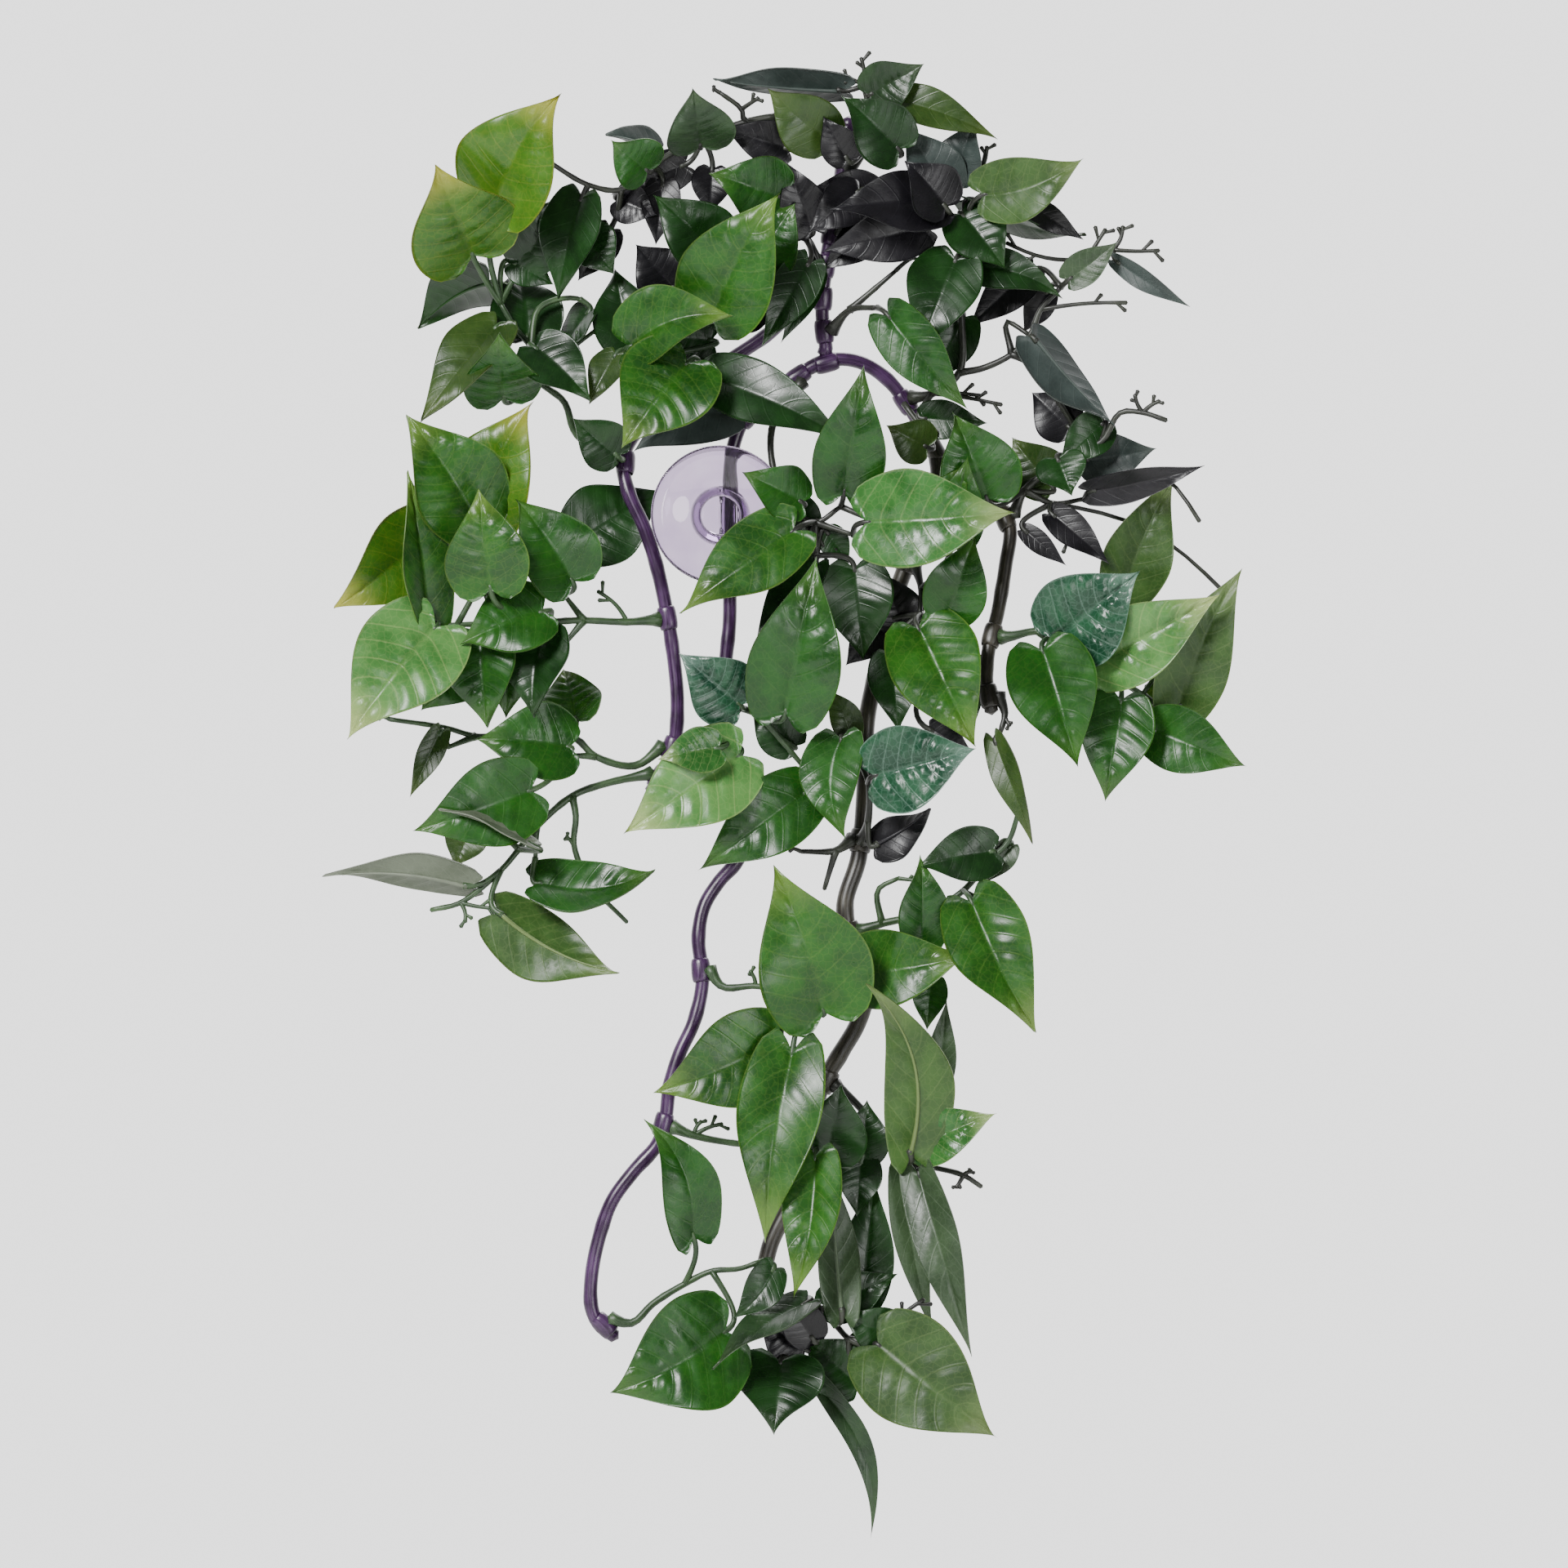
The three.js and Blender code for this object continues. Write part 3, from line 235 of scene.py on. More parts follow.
LEAF_LOOKS = {
    "bright": ("bright_green", "#20540d", "#11370b", "#829e44", 0.33, 0.06, 0.4),
    "mid": ("mid_green", "#174b0b", "#0c3209", "#5a7c36", 0.32),
    "dark": ("dark_green", "#0f350a", "#081f07", "#26451a", 0.33),
    # The blue, pale and light greens draw their veins stronger, in their pale margin colours: partly the
    # leaf's own paler veins, partly a painted highlight drawn along the veins.
    "blue": ("blue_green", "#1c4a2e", "#0e2d1f", "#9fc0b0", 0.28, 0.12),
    "pale": ("pale_green", "#33662a", "#1b4718", "#a9b878", 0.29, 0.12, 0.6),
    "light": ("light_green", "#528040", "#2f5f28", "#b4c07a", 0.30, 0.14, 0.65),
    "yellow": ("yellow_green", "#3f6612", "#26500e", "#a8a040", 0.31, 0.07, 0.7),
    "olive": ("olive_green", "#2c4414", "#1b310f", "#5a6430", 0.35),
    "grey": ("grey_underside", "#34492c", "#24361f", "#73806a", 0.40, 0.1),
    "sage": ("sage_green", "#33521e", "#223b15", "#83945a", 0.42, 0.08, 0.4),
    "slate": ("slate_underside", "#343e3b", "#222a28", "#505953", 0.40),
    "muted": ("muted_green", "#213b1c", "#152714", "#4a5c3c", 0.35),
    "silver": ("silvery_underside", "#5c6454", "#454e3d", "#83897a", 0.42),
    "black": ("purple_black", "#121015", "#09080b", "#212026", 0.36),
}
LEAF_FINISHES = {
    tone: moulded_leaf("moulded_leaf_" + look, *numbers) for tone, (look, *numbers) in LEAF_LOOKS.items()
}
QUILTING = {
    "blue": 2.0, "light": 1.8, "pale": 1.7, "bright": 1.2,
    "olive": 0.7, "dark": 0.65, "slate": 0.6, "black": 0.5,
}
AWAY_SIDE = {"bright": "muted", "mid": "muted", "dark": "olive", "yellow": "olive", "black": "slate"}
print("leaf finishes:", ", ".join(LEAF_FINISHES))

# %% [markdown]
# ## Stem finishes
# The bendable vines are steel wire inside extruded PVC, dyed dark purple, or brown on the right.
# Extrusion draws fine streaks along the skin. Their paler colour is painted in as a satin line of
# light that runs lengthwise and breaks into threads: partly real streaks, partly a painted sheen.
# The thin leaf stems are polyethylene, moulded with the leaves: greener, a little mottled, and
# less shiny. PVC has an index of refraction of 1.53.
# Streaks are 0.4 mm apart round the stem and many times longer than wide, and the mottling is
# about 5 mm across.

# %% Stem finishes
PVC_IOR = 1.53
STREAK_WIDTH = 0.4
STREAK_DEPTH = 0.1
MOTTLE = 5.0


def streaked_stem(name, body, streak_and_sheen, roughness, ior):
    finish, tree, shader = new_finish(name)
    where = add_node(tree, "ShaderNodeUVMap", uv_map="blade").outputs[0]
    stretched = add_node(tree, "ShaderNodeMapping", {
        "Vector": where, "Scale": (1 / STREAK_WIDTH, 0.05, 1),
    })
    threads = add_node(tree, "ShaderNodeTexNoise", {
        "Vector": stretched.outputs[0], "Scale": 1.0, "Detail": 4, "Roughness": 0.6,
    }).outputs[0]
    spot = add_node(tree, "ShaderNodeNewGeometry").outputs["Position"]
    mottle = add_node(tree, "ShaderNodeTexNoise", {
        "Vector": spot, "Scale": 1 / (MOTTLE * MM), "Detail": 3,
    }).outputs[0]
    # Where threads and mottling run high, the paler streak colour is mixed in: partly real extrusion
    # streaks and mottling, partly a painted sheen along the stem.
    both = add_node(tree, "ShaderNodeMath", {0: threads, 1: mottle}, operation="MULTIPLY").outputs[0]
    share = add_node(tree, "ShaderNodeMapRange", {
        "Value": both, "From Min": 0.16, "From Max": 0.38,
    }, interpolation_type="SMOOTHSTEP").outputs[0]
    skin = add_node(tree, "ShaderNodeMix", {
        0: share, 6: colour(body), 7: colour(streak_and_sheen),
    }, data_type="RGBA").outputs[2]
    gloss = add_node(tree, "ShaderNodeMapRange", {
        "Value": threads, "From Min": 0.3, "From Max": 0.7,
        "To Min": roughness - 0.05, "To Max": roughness + 0.1,
    }).outputs[0]
    dents = add_node(tree, "ShaderNodeBump", {
        "Height": threads, "Strength": 0.4, "Distance": STREAK_DEPTH * MM,
    }).outputs[0]
    tree.links.new(skin, shader.inputs["Base Color"])
    tree.links.new(gloss, shader.inputs["Roughness"])
    tree.links.new(dents, shader.inputs["Normal"])
    shader.inputs["IOR"].default_value = ior
    finish.diffuse_color = colour(body)
    return finish


STEM_FINISHES = {
    "purple": streaked_stem("extruded_pvc_purple", "#240b2b", "#462a50", 0.30, PVC_IOR),
    "brown": streaked_stem("extruded_pvc_brown", "#1c1813", "#3c382e", 0.36, PVC_IOR),
    "green stem": streaked_stem("moulded_stem_green", "#1c3317", "#3a5230", 0.42, POLYETHYLENE_IOR),
    "dark stem": streaked_stem("moulded_stem_dark", "#161713", "#2e3228", 0.42, POLYETHYLENE_IOR),
}
print("stem finishes:", ", ".join(STEM_FINISHES))

# %% [markdown]
# ## Clear soft PVC
# The cup is soft, clear PVC, moulded in a polished tool and milky with age and plasticiser. The
# eye sees a pale, faintly violet disc with a darker rim, a few soft highlights, and the purple
# stem through it. Light passes through, so nearly all of the shader is transmission, a little
# rough; a small share of plain skin gives the milk. Clouds in it are about 6 mm across.

# %% Cup finish
CLOUD_SIZE = 6.0
CLEAR_SHARE = 0.985

cup_finish, tree, shader = new_finish("clear_soft_pvc")
spot = add_node(tree, "ShaderNodeNewGeometry").outputs["Position"]
clouds = add_node(tree, "ShaderNodeTexNoise", {
    "Vector": spot, "Scale": 1 / (CLOUD_SIZE * MM), "Detail": 2,
}).outputs[0]
milk = add_node(tree, "ShaderNodeMix", {
    0: clouds, 6: colour("#ab95ba"), 7: colour("#c9bad2"),
}, data_type="RGBA").outputs[2]
gloss = add_node(tree, "ShaderNodeMapRange", {"Value": clouds, "To Min": 0.03, "To Max": 0.07}).outputs[0]
tree.links.new(milk, shader.inputs["Base Color"])
tree.links.new(gloss, shader.inputs["Roughness"])
shader.inputs["IOR"].default_value = PVC_IOR
shader.inputs["Transmission Weight"].default_value = CLEAR_SHARE
cup_finish.diffuse_color = colour("#ab95ba")
print("cup finish:", cup_finish.name)

# %% [markdown]
# ## Collecting a shape
# Each piece below is one mesh: many blades, stalks and rods that were moulded or pushed together.
# It is collected as plain lists of points and faces in millimetres, with a finish for each face
# and two pairs of numbers for each point, which become the two UV maps that the finishes read.
# One function at the end turns the lists into a Blender object in metres that stands for its node.

# %% Shape lists
class Shape:
    def __init__(self):
        self.points, self.blade, self.veins = [], [], []
        self.faces, self.finishes = [], []

    def point(self, place, blade=(0.5, 0.3), veins=(0.5, 0.5)):
        self.points.append(place)
        self.blade.append(blade)
        self.veins.append(veins)
        return len(self.points) - 1

    def face(self, corners, finish):
        self.faces.append(corners)
        self.finishes.append(finish)

    def ring(self, centre, axes, radius, sides, along, lump=lambda angle: 1):
        """A ring of points. Each is marked with its place round and along the rod, for the streaks."""
        numbers = []
        for k in range(sides):
            angle = 2 * math.pi * k / sides
            out = (axes[0] * math.cos(angle) + axes[1] * math.sin(angle)) * radius * lump(angle)
            round_about = abs(2 * k / sides - 1) * math.pi * radius
            numbers.append(self.point(centre + out, (round_about, along)))
        return numbers

    def stitch(self, rings, finish):
        """Faces from each ring to the next. Beside a ring of one point they make a fan."""
        for a, b in zip(rings, rings[1:]):
            for k in range(max(len(a), len(b))):
                m = k + 1
                corners = (a[k % len(a)], a[m % len(a)], b[m % len(b)], b[k % len(b)])
                self.face(tuple(dict.fromkeys(corners)), finish)


ALL_FINISHES = {**LEAF_FINISHES, **STEM_FINISHES, "cup": cup_finish}


def new_mesh(name, shape):
    mesh = bpy.data.meshes.new(name)
    mesh.from_pydata([tuple(p * MM) for p in shape.points], [], shape.faces)
    return mesh


def make_piece(shape, name, node):
    """The object for a shape, which stands for a node of the plain model."""
    mesh = new_mesh(name, shape)
    used = sorted(set(shape.finishes))
    for finish in used:
        mesh.materials.append(ALL_FINISHES[finish])
    mesh.polygons.foreach_set("material_index", [used.index(f) for f in shape.finishes])
    mesh.polygons.foreach_set("use_smooth", [True] * len(shape.faces))
    corners = [0] * len(mesh.loops)
    mesh.loops.foreach_get("vertex_index", corners)
    for layer, values in (("blade", shape.blade), ("veins", shape.veins)):
        uv = mesh.uv_layers.new(name=layer)
        uv.data.foreach_set("uv", [number for c in corners for number in values[c]])
    mesh.update()
    piece = add_object(name, mesh)
    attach(piece, "root")
    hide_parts(node)
    print(name, "stands for", node, "with", len(mesh.polygons), "faces")
    return piece


print("finishes to choose from:", len(ALL_FINISHES))

# %% [markdown]
# ## Soft curves and round rods
# A bent wire never turns at a sharp corner. A centripetal Catmull-Rom curve goes through all the
# given points without loops or overshoot, and we walk along it in even steps. A rod is then a row
# of rings on that walk. Each ring is turned only as much as the curve turns, so the rod doesn't
# twist, and its radius may change along the way, which gives knuckles, tapers and rounded ends.

# %% Curves and rods
CURVE_STEPS = 24
END_DOME = 0.6
# Where the count round a ring begins. No stem runs this way.
SEAM_SIDE = Vector((0.3, -0.9, 0.3))


def even_walk(fine, count):
    """Evenly spaced points on a chain of points, and the chain's length."""
    lengths = [0.0]
    for a, b in zip(fine, fine[1:]):
        lengths.append(lengths[-1] + (b - a).length)
    walk, k = [], 0
    for i in range(count + 1):
        goal = lengths[-1] * i / count
        while k < len(fine) - 2 and lengths[k + 1] < goal:
            k += 1
        part = (goal - lengths[k]) / max(lengths[k + 1] - lengths[k], 1e-9)
        walk.append(fine[k].lerp(fine[k + 1], part))
    return walk, lengths[-1]


def step_walk(fine, step, least=1):
    """The same, with the number of steps that comes nearest to a given step."""
    length = even_walk(fine, 1)[1]
    return even_walk(fine, max(least, round(length / step)))


def soft_curve(points):
    """A fine chain of points on the centripetal Catmull-Rom curve through the given ones."""
    p = [Vector(q) for q in points]
    p = [2 * p[0] - p[1]] + p + [2 * p[-1] - p[-2]]
    fine = []
    for a, b, c, d in zip(p, p[1:], p[2:], p[3:]):
        k0, k1, k2 = (max((v - u).length, 1e-4) ** 0.5 for u, v in ((a, b), (b, c), (c, d)))
        leave = ((b - a) / k0 - (c - a) / (k0 + k1) + (c - b) / k1) * k1
        arrive = ((c - b) / k1 - (d - b) / (k1 + k2) + (d - c) / k2) * k1
        for i in range(CURVE_STEPS):
            t = i / CURVE_STEPS
            fine.append(
                b * (2 * t**3 - 3 * t**2 + 1) + leave * (t**3 - 2 * t**2 + t)
                + c * (3 * t**2 - 2 * t**3) + arrive * (t**3 - t**2)
            )
    fine.append(p[-2])
    return fine


def ring_frames(walk):
    """Two directions across the walk at each point, carried along it without twist."""
    ways = []
    for i in range(len(walk)):
        ways.append((walk[min(i + 1, len(walk) - 1)] - walk[max(i - 1, 0)]).normalized())
    out = ways[0].cross(SEAM_SIDE).normalized()
    frames = []
    for way in ways:
        out = (out - way * out.dot(way)).normalized()
        frames.append((out, way.cross(out)))
    return frames


def rod(shape, walk, radius_at, sides, finish):
    """A round rod with closed, slightly domed ends. radius_at gives its radius from 0 to 1."""
    rings, gone = [], 0.0
    for i, (centre, axes) in enumerate(zip(walk, ring_frames(walk))):
        if i:
            gone += (centre - walk[i - 1]).length
        rings.append(shape.ring(centre, axes, radius_at(i / (len(walk) - 1)), sides, gone))
    shape.stitch(rings, finish)
    for order, end, inner, t in ((rings[0][::-1], walk[0], walk[1], 0), (rings[-1], walk[-1], walk[-2], 1)):
        reach = radius_at(t) * END_DOME
        peak = shape.point(end + (end - inner).normalized() * reach, (0, gone))
        shape.stitch([order, [peak]], finish)


corner = soft_curve([(0, 0, 0), (10, 0, 0), (10, 0, 10)])
print("a soft corner between two 10 mm sides is", round(even_walk(corner, 1)[1], 1), "mm long")

# %% [markdown]
# ## The vine stems
# Five stems carry everything. The arched stem starts low on the right, goes up, over and down
# through the cup's knob, and ends in the loop at the lower left. The right one hangs from the
# arched stem's foot, the trunk stands on the arch, and two more branch off to the left and right.
# Bent wire keeps small kinks and knuckles, so the radius swells a little every 17 mm. The real
# stems look a fifth slimmer than the plain model's, so the radii are multiplied by 0.8.

# %% Stem routes, in millimetres
VINE_RADIUS = 1.95
RIGHT_VINE_RADIUS = 2.4
SLIMNESS = 0.8
VINES = {
    "centre_vine": (VINE_RADIUS, "purple", [
        (45.6, 14, 15.9), (40.3, 14, 24.7), (35.9, 13.5, 30), (29.7, 13, 33.6), (22.7, 12.5, 33.6),
        (13.8, 12, 28.3), (5.9, 11.2, 22.1), (2.8, 10.6, 15), (2, 10.4, 5.3), (2, 10, -12.3),
        (2, 9.5, -22.9), (1.1, 9, -33.5), (1.8, 8, -47.6), (6, 6, -63.5), (4.1, 5, -74.1), (-0.3, 4, -79.4),
        (-3.5, 3, -84.7), (-4.7, 2, -91.7), (-3.8, 1, -100.5), (-5.6, 0, -109.4), (-8.8, -1, -116.5),
        (-10.9, -1.5, -123.5), (-11.8, -2, -130.6), (-13.5, -2, -135.9), (-18.8, -2.5, -142),
        (-23.3, -3, -148.2), (-25.9, -3, -155.3), (-27.7, -3.5, -164.1), (-27.7, -4, -171.2),
        (-25.9, -4, -175), (-22.6, -4, -177.4),
    ]),
    "right_vine": (RIGHT_VINE_RADIUS, "brown", [
        (47.1, 14, 13.2), (47.3, 14, 7.5), (42.9, 13.5, -4.4), (37.9, 13, -17.6), (34.9, 12, -30),
        (31.8, 11, -44.1), (31.4, 9.5, -58.2), (30, 8, -74.1), (27, 7, -84.7), (29.3, 7, -95.3),
        (31.4, 8, -104.1), (29.7, 8.5, -110.3), (26.1, 9, -116.5), (21.7, 9.5, -124.4), (19.1, 9.5, -135.9),
        (15.5, 9, -148.2), (10.6, 8.5, -158.8), (9.4, 8, -169.4), (12.9, 8, -178.2),
    ]),
    "trunk": (VINE_RADIUS, "purple", [
        (22.9, 12.5, 36.5), (22.1, 12.4, 44), (22.7, 12.2, 53), (24.4, 12, 63.5), (26.7, 12, 73.3),
        (27.9, 12, 86),
    ]),
    "left_vine": (VINE_RADIUS, "purple", [
        (20.3, 14.3, 48.6), (16.5, 17.3, 46), (11.2, 20, 40.5), (-0.3, 22, 32.7), (-10.9, 19, 24.7),
        (-18, 14.5, 18.6), (-21.1, 11, 12.4), (-20, 9, 5.3), (-16.5, 8, -2.6), (-13.9, 8, -10.6),
        (-11.6, 8, -21.1), (-10, 7.5, -31.7), (-9.3, 7, -40.5), (-9.8, 7, -48.5), (-11.8, 7, -54.7),
        (-15, 7, -60),
    ]),
    "side_vine": (VINE_RADIUS, "brown", [
        (49.6, 13.4, 5.2), (54, 11.5, 5.6), (59.7, 8, 3.2), (62.7, 6, -2.6), (61.8, 4, -10.6),
        (60, 2, -21.2), (58.2, 0, -28.2), (57.5, -1, -35.3), (58.6, -2, -42.5),
    ]),
}
vine_curves = {name: soft_curve(route) for name, (_, _, route) in VINES.items()}
print("stem lengths in mm:", {name: round(even_walk(curve, 1)[1]) for name, curve in vine_curves.items()})

# %% [markdown]
# ## Collars
# Every spray ends in a short moulded collar that is pushed onto a stem, with a little play. It is
# a ring turned about the stem: a bore, two rounded shoulders and a swollen middle.

# %% Collar function
RUNNING_GAP = 0.12
COLLAR_WALL = 0.55
COLLAR_LENGTH = 5.0
COLLAR_SIDES = 24
COLLAR_LUMPS = 0.02
STRAIGHT_LENGTH = 7


def straight_part(vine, place):
    """Where a collar sits: middle and direction of the nearly straight length nearest to a place."""
    walk, _ = step_walk(vine_curves[vine], STRAIGHT_LENGTH)
    parts = [((a + b) / 2, (b - a).normalized()) for a, b in zip(walk, walk[1:])]
    return min(parts, key=lambda part: (part[0] - Vector(place)).length)


def collar(shape, vine, place, finish, start=-COLLAR_LENGTH / 2, end=COLLAR_LENGTH / 2, at=None):
    """A collar on a vine. Returns a function that gives the middle of its wall in a direction."""
    middle, way = straight_part(vine, place)
    middle = at or middle
    radius = VINES[vine][0] * SLIMNESS
    bore, outside = radius + RUNNING_GAP, radius + COLLAR_WALL
    profile = [
        (start, bore), (start, bore + 0.1), (start + 0.4, outside - 0.16), (start + 1.1, outside - 0.04),
        (start * 0.4 + end * 0.6, outside), (end - 1.1, outside - 0.04), (end - 0.4, outside - 0.16),
        (end, bore + 0.1), (end, bore),
    ]
    across = way.cross(SEAM_SIDE).normalized()
    axes = (across, way.cross(across))
    rings = []
    for along, reach in profile:
        lumps = COLLAR_LUMPS if reach > bore else 0
        rings.append(shape.ring(
            middle + way * along, axes, reach, COLLAR_SIDES, along,
            lump=lambda angle: 1 + lumps * math.sin(3 * angle + middle.x),
        ))
    shape.stitch(rings + rings[:1], finish)

    def wall(towards):
        out = Vector(towards) - middle
        out = (out - way * out.dot(way)).normalized()
        return middle + out * (radius + 0.8 * COLLAR_WALL)
    return wall


print("a collar on the arched stem is", round(2 * (VINE_RADIUS * SLIMNESS + COLLAR_WALL), 1), "mm across")

# %% [markdown]
# Now the stems themselves, as rods with knuckles. All but the arched stem also get the collar, or
# on the thick right stem the deeper socket, that holds them to the stem they spring from.

# %% Vine pieces
KNUCKLE_SPACING = 17
VINE_RING_STEP = 1.2
VINE_SIDES = 20
SOCKET_DEPTH = 5.5
SOCKET_LENGTH = 9.5
HELD_AT = {
    "trunk": ("centre_vine", (23.6, 12.5, 33.8)),
    "left_vine": ("trunk", (22.4, 12.3, 49)),
    "side_vine": ("right_vine", (46.6, 14, 4.6)),
}

for name, (radius, dye, _) in VINES.items():
    shape = Shape()
    walk, length = step_walk(vine_curves[name], VINE_RING_STEP)
    knuckles = length / KNUCKLE_SPACING

    def knuckled(t):
        swell = max(0.0, math.cos(2 * math.pi * knuckles * t)) ** 6
        return radius * SLIMNESS * (0.97 + 0.07 * swell)

    if name in HELD_AT:
        holder, place = HELD_AT[name]
        wall = collar(shape, holder, place, dye)
        walk.insert(0, wall(walk[0]))
    rod(shape, walk, knuckled, VINE_SIDES, dye)
    if name == "right_vine":
        foot = vine_curves["centre_vine"][0]
        collar(shape, "centre_vine", foot, dye, SOCKET_DEPTH - SOCKET_LENGTH, SOCKET_DEPTH, at=foot)
    make_piece(shape, name + "_coated_wire", name)

# %% [markdown]
# ## The suction cup
# A suction cup is turned: one outline, spun about the axis that points at the glass. The front is
# a shallow hollow inside a flat lip, and behind it a neck carries a knob with a hole across it for
# the stem. The outline gets many small steps where it bends, so the highlights stay round.

# %% Suction cup
CUP_RADIUS = 15
LIP_INNER_RADIUS = 12.4
HOLLOW_DEPTH = 2.8
KNOB_RADIUS = 5.5
KNOB_END = 14
CUP_SIDES = 96

hollow = [(0, HOLLOW_DEPTH), (3.5, 2.7), (6.8, 2.3), (9, 1.66), (10.5, 1.16), (11.6, 0.62)]
lip = [(LIP_INNER_RADIUS, 0.12), (12.9, 0), (14.6, 0), (14.92, 0.12), (CUP_RADIUS, 0.4), (14.95, 0.8)]
back = [(14.5, 1.25), (13, 2.0), (10.5, 3.0), (7.6, 4.15), (5.6, 5.0), (4.5, 5.6), (4.2, 6.1)]
knob = [(4.5, 6.6), (5.2, 7.0), (KNOB_RADIUS, 7.6), (KNOB_RADIUS, 12.9), (5.3, 13.5), (4.7, 13.9)]
knob += [(3.6, KNOB_END), (0, KNOB_END)]

shape = Shape()
rings = []
for radius, depth in hollow + lip + back + knob:
    count = CUP_SIDES if radius else 1
    ring = []
    for k in range(count):
        angle = 2 * math.pi * k / count
        ring.append(shape.point(Vector((radius * math.cos(angle), depth, radius * math.sin(angle)))))
    rings.append(ring)
shape.stitch(rings, "cup")
cup = make_piece(shape, "suction_cup_moulding", "suction_cup")

# %% [markdown]
# The hole has to follow the stem, which bends a little behind the cup. So the cutter is a rod on
# the stem's own curve, 0.35 mm thicker all round than the plain stem. A Boolean modifier takes it
# out of the cup, and the cut mesh then becomes the cup's own.

# %% Stem hole
HOLE_CLEARANCE = 0.35
HOLE_SIDES = 32
HOLE_STEPS = 260

cutter_shape = Shape()
stem_walk, _ = even_walk(vine_curves["centre_vine"], HOLE_STEPS)
behind_cup = [p for p in stem_walk if abs(p.z) < CUP_RADIUS + 1 and abs(p.x) < CUP_RADIUS / 2]
rod(cutter_shape, behind_cup, lambda t: VINE_RADIUS + HOLE_CLEARANCE, HOLE_SIDES, "cup")
cutter = add_object("hole_cutter", new_mesh("hole_cutter", cutter_shape))
hole = cup.modifiers.new("stem_hole", "BOOLEAN")
hole.operation = "DIFFERENCE"
hole.solver = "EXACT"
hole.object = cutter
bpy.context.view_layer.update()
cut_mesh = bpy.data.meshes.new_from_object(cup.evaluated_get(bpy.context.evaluated_depsgraph_get()))
cup.modifiers.clear()
cup.data = cut_mesh
bpy.data.objects.remove(cutter)
print("cup faces after the hole:", len(cut_mesh.polygons))

# %% [markdown]
# ## One leaf
# A philodendron leaf is a heart with a long tip. Its outline is one curve: half the width grows
# along a quarter circle to 27% of the length, then falls off as a cosine, and the two lobes reach
# back past the stalk. On that outline lies a grid of points, closer together near the margin.
#
# The moulded blade isn't flat. It has a V fold along the midrib and a bow from base to tip, and it
# twists a little about the midrib, each leaf by another angle. The panels between the side veins
# puff up by a few tenths of a millimetre, some more than others, and the margin waves. All of
# that is real geometry, because it is what breaks the sheen into the patches seen on the real
# leaves. The blade is 0.5 mm thick, and a round midrib stands proud of its underside.

# %% Leaf outline
LOBE_REACH = 0.11
WIDEST_AT = 0.27
SHOULDER = 0.45
TIP_TAPER = 1.35
SIDE_VEINS = 7
VEIN_SWEEP = 0.24
TWIST_CENTRE = 0.4


def half_width(v):
    """Half the blade's width at v, from base to tip, as a share of its greatest."""
    if v < WIDEST_AT:
        back = 1 - v / WIDEST_AT
        return SHOULDER + (1 - SHOULDER) * math.sqrt(max(0, 1 - back * back))
    return max(0.0, math.cos(math.pi / 2 * (v - WIDEST_AT) / (1 - WIDEST_AT))) ** TIP_TAPER


def vein_count(s, v):
    """Which side vein a point is on: whole numbers are veins, and they sweep towards the tip."""
    return SIDE_VEINS * (v - VEIN_SWEEP * abs(s) ** 1.25 * (1 - 0.45 * v)) + 0.35


def blade_point(leaf, s, v):
    """A point on the middle surface of a blade, s from -1 to 1 across and v from 0 to 1 along."""
    arch = 4 * v * (1 - v)
    reach = leaf["width"] / 2 * half_width(v)
    back = LOBE_REACH * (1 - v / WIDEST_AT) ** 2 if v < WIDEST_AT else 0
    spot = leaf["base"] + leaf["along"] * leaf["size"] * (v - back * math.sin(math.pi / 2 * abs(s)))
    spot += leaf["side"] * leaf["sweep"] * leaf["size"] * arch
    turn = leaf["twist"] * (v - TWIST_CENTRE)
    out = leaf["side"] * math.cos(turn) + leaf["face"] * math.sin(turn)
    up = leaf["face"] * math.cos(turn) - leaf["side"] * math.sin(turn)
    puff = abs(math.sin(math.pi * vein_count(s, v)))
    puff *= leaf["puff"] * min(1, 5 * abs(s)) * (1 - abs(s) ** 3) * min(1, 4 * (1 - v))
    puff *= 0.4 + 0.9 * abs(math.sin(math.pi * (1.3 * v + 0.7 * s + 3 * leaf["chance"])))
    wave = leaf["wave"] * s * s * math.sin(2 * math.pi * (1.4 * v + leaf["chance"] + 0.23 * (s > 0)))
    lift = abs(s) * reach * math.sin(leaf["fold"]) + puff + wave
    spot += out * s * reach * math.cos(leaf["fold"]) + up * lift
    return spot + leaf["face"] * leaf["bow"] * leaf["size"] * arch


print("halfway along, a leaf has", round(100 * half_width(0.5)), "% of its width")

# %% [markdown]
# A blade has two skins with a rim between them. Each skin is a grid of points that ends in a peak,
# and its rows lie closer together towards the tip, where the blade gets narrow. The lower skin's
# corners run the other way round, so that the faces of both look outwards.

# %% Blade function
BLADE_THICKNESS = 0.5
MARGIN_THINNING = 0.07
TIP_THICKNESS = 0.24
ROW_CROWDING = 1.12
ACROSS = [0, 0.07, 0.2, 0.36, 0.52, 0.68, 0.82, 0.93, 1]
ALONG_STEPS = 34


